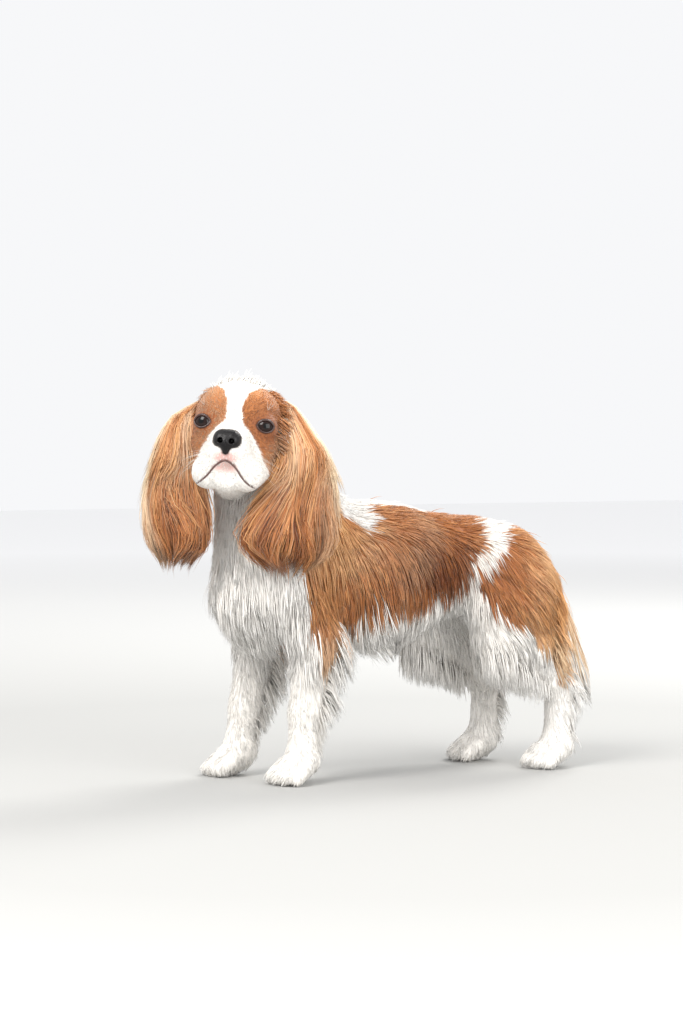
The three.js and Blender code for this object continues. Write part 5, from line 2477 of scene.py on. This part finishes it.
@dataclass
class Studio:
    """A plain pale floor, soft light and the photo's own camera."""

    distance: float = 3.2
    height: float = 0.4
    aside: float = -0.063
    azimuth: float = 63.0
    pitch: float = 1.86
    lens: float = 98.7
    floor_half: float = 9.0
    sky: Colour = (0.98, 0.985, 1.0, 1.0)
    sky_light: float = 0.95

    def build(self, shift: Array) -> None:
        """Builds floor, lights, world and camera.

        Args:
            shift: What centres the model on the frame, in metres.
        """
        self.floor()
        target = np.array([0.02, 0.0, 0.22])
        toward = np.array([math.cos(math.radians(self.azimuth)), math.sin(math.radians(self.azimuth)), 0])
        right = np.array([-toward[1], toward[0], 0])
        up = np.array([0, 0, 1.0])
        key = toward * 1.7 - right * 1.5 + up * 2.4
        fill = toward * 2.4 + right * 1.9 + up * 1.2
        rim = -toward * 1.8 + right * 1.1 + up * 2.2
        Lamp("key", tuple(key), 74, 1.5, (1.0, 0.98, 0.95)).build(target)
        Lamp("fill", tuple(fill), 62, 2.4, (1.0, 0.99, 0.97)).build(target)
        Lamp("rim", tuple(rim), 52, 1.2, (1.0, 0.99, 0.96)).build(target)
        self.world()
        self.camera(shift, toward, right)

    def floor(self) -> None:
        """A wide flat floor."""
        mesh = bpy.data.meshes.new("floor")
        r = self.floor_half
        mesh.from_pydata([(-r, -r, 0), (r, -r, 0), (r, r, 0), (-r, r, 0)], [], [(0, 1, 2, 3)])
        mesh.materials.append(FloorFinish().material())
        floor = bpy.data.objects.new("floor", mesh)
        bpy.context.scene.collection.objects.link(floor)
        floor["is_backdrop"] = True

    def world(self) -> None:
        """An even pale surround."""
        world = bpy.data.worlds.new("studio")
        world.use_nodes = True
        light = world.node_tree.nodes["Background"].inputs
        light["Color"].default_value = self.sky
        light["Strength"].default_value = self.sky_light
        bpy.context.scene.world = world

    def camera(self, shift: Array, toward: Array, right: Array) -> None:
        """The photo's camera.

        Args:
            shift: What centres the model on the frame, in metres.
            toward: The level way from the dog to the camera.
            right: The level way square to it.
        """
        camera = bpy.data.cameras.new("camera")
        camera.lens, camera.sensor_width = self.lens, 36
        camera.clip_end = 60
        eye = bpy.data.objects.new("camera", camera)
        bpy.context.scene.collection.objects.link(eye)
        eye.location = toward * self.distance + right * self.aside + np.array([0, 0, self.height]) + shift
        down = math.tan(math.radians(self.pitch))
        aim(eye, -toward - np.array([0, 0, down]))
        bpy.context.scene.camera = eye
        bpy.context.scene.view_settings.view_transform = "Standard"


# Building


def coats() -> list[Pelt]:
    """Every piece of the coat that grows from the skin, with its count of tufts.

    Returns:
        The pieces.
    """
    trunk = dict(width=1.25, lift=0.08, stray=0.045, clump=8, pull=0.4, carried=0.75, unwraps=TRUNK_MAP)
    long = dict(clump=9, pull=0.5)
    return [
        HeadCoat(
            "face_coat", 10500, Slot.WHITE, 3, sink=0.3, lift=0.05, droop=0.0, stray=0.05, wave=0.08,
            clump=4, pull=0.15, rise=0.14, wild=0.0, unwraps=HEAD_MAP,
        ),
        Crown(
            "crown_coat", 6200, Slot.WHITE, width=1.05, lift=0.24, droop=0.02, stray=0.12, wave=0.2,
            rise=1.7, wild=0.05, unwraps=HEAD_MAP,
        ),
        NeckCoat(
            "neck_coat", 5400, Slot.WHITE, 3, lift=0.25, stray=0.05, clump=8, pull=0.4, rise=2.2,
            unwraps=TRUNK_MAP,
        ),
        TrunkCoat("coat_left", 10500, Slot.CHESTNUT, 3, side=Side.LEFT, **trunk),
        TrunkCoat("coat_right", 10500, Slot.CHESTNUT, 3, side=Side.RIGHT, **trunk),
        Bib(
            "bib", 4600, Slot.WHITE, width=1.4, lift=0.2, droop=0.25, stray=0.05, wave=0.3, clump=10,
            pull=0.5, unwraps=TRUNK_MAP,
        ),
        Fringe(
            "fringe", 3400, Slot.WHITE, droop=0.4, stray=0.05, wave=0.3, unwraps=TRUNK_MAP, **long
        ),
        LegCoat(
            "leg_coat", 10000, Slot.WHITE, 3, width=1.0, sink=0.4, lift=0.07, stray=0.05, clump=6,
            rise=0.45, unwraps=LEG_MAP,
        ),
        Feathers(
            "feathers", 4400, Slot.WHITE, width=1.25, lift=0.22, droop=0.25, stray=0.06, wave=0.35,
            unwraps=LEG_MAP, **long,
        ),
        StifleFeathers(
            "stifle_feathers", 1500, Slot.WHITE, droop=0.4, stray=0.05, wave=0.3, unwraps=LEG_MAP, **long
        ),
    ]


def build_skin(shift: Array) -> Ground:
    """The skin, the nose and the lips.

    Args:
        shift: What centres the model on the frame, in metres.

    Returns:
        The ground that the coat grows from.
    """
    skin = Skin()
    points, faces = skin.mesh()
    flesh = ["torso", "neck", "head", "tail"] + [f"foreleg_{s}" for s in ("left", "right")]
    flesh += [f"{part}_{s}" for part in ("hindleg", "hindfoot") for s in ("left", "right")]
    skin.dressed(points, faces).build(shift, SkinFinish(), Slot.WHITE, flesh)
    Piece("nose_pad", *Nose().mesh()).build(shift, NoseFinish(), Slot.NOSE, ["nose"])
    lips = skin.mouth.lips(skin.lip_line)
    Piece("lips", *outward(HEAD_FRAME.out(lips[0]), lips[1])).build(shift, LIPS, Slot.NOSE)
    return Ground.under(points, faces)


def build_face(shift: Array) -> None:
    """Eyes, lids, whiskers and claws.

    Args:
        shift: What centres the model on the frame, in metres.
    """
    for side in Side:
        Eyeball(side).mesh().build(shift, EyeFinish(), Slot.EYE, [f"eye_{side.name.lower()}"])
    Lids().mesh().build(shift, RimFinish(), Slot.NOSE)
    Whiskers().mesh().build(shift, WhiskerFinish(), Slot.WHITE)
    Claws().mesh().build(shift, ClawFinish(), Slot.NOSE)


def build_hanging(shift: Array) -> None:
    """Ears and tail: hair, over a leather in each ear.

    Args:
        shift: What centres the model on the frame, in metres.
    """
    for side, ear in ears().items():
        points, faces = ear.core()
        none = np.zeros(len(points))
        values = {"chestnut": none + 1, "tint": none + 0.4, "pale": none, "rim": none, "pink": none}
        name = f"ear_{side.name.lower()}"
        Piece(name + "_leather", points, faces, values).build(shift, SkinFinish(), Slot.CHESTNUT, [name])
        ear.grow().mesh(ear.name).build(shift, HairFinish(), Slot.CHESTNUT)
    brush = tail()
    brush.grow().mesh(brush.name).build(shift, HairFinish(), Slot.CHESTNUT)


def main() -> None:
    """Builds the dog, then the studio."""
    logging.basicConfig(level=logging.INFO, format="%(message)s")
    low, high = (np.array(corner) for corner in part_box("eye_left"))
    shift = (low + high) / 2 - HEAD_FRAME.out(EYES[Side.LEFT].centre) * MM
    log.info("shift %s", shift)
    ground = build_skin(shift)
    build_face(shift)
    build_hanging(shift)
    for pelt in coats():
        pelt.grow(ground).mesh(pelt.name).build(shift, HairFinish(), pelt.slot)
    Studio().build(shift)
    boxes = {"cad": CAD_BOX, "visual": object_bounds()}
    {key: [list(corner) for corner in box] for key, box in boxes.items()}


if __name__ == "__main__":
    main()
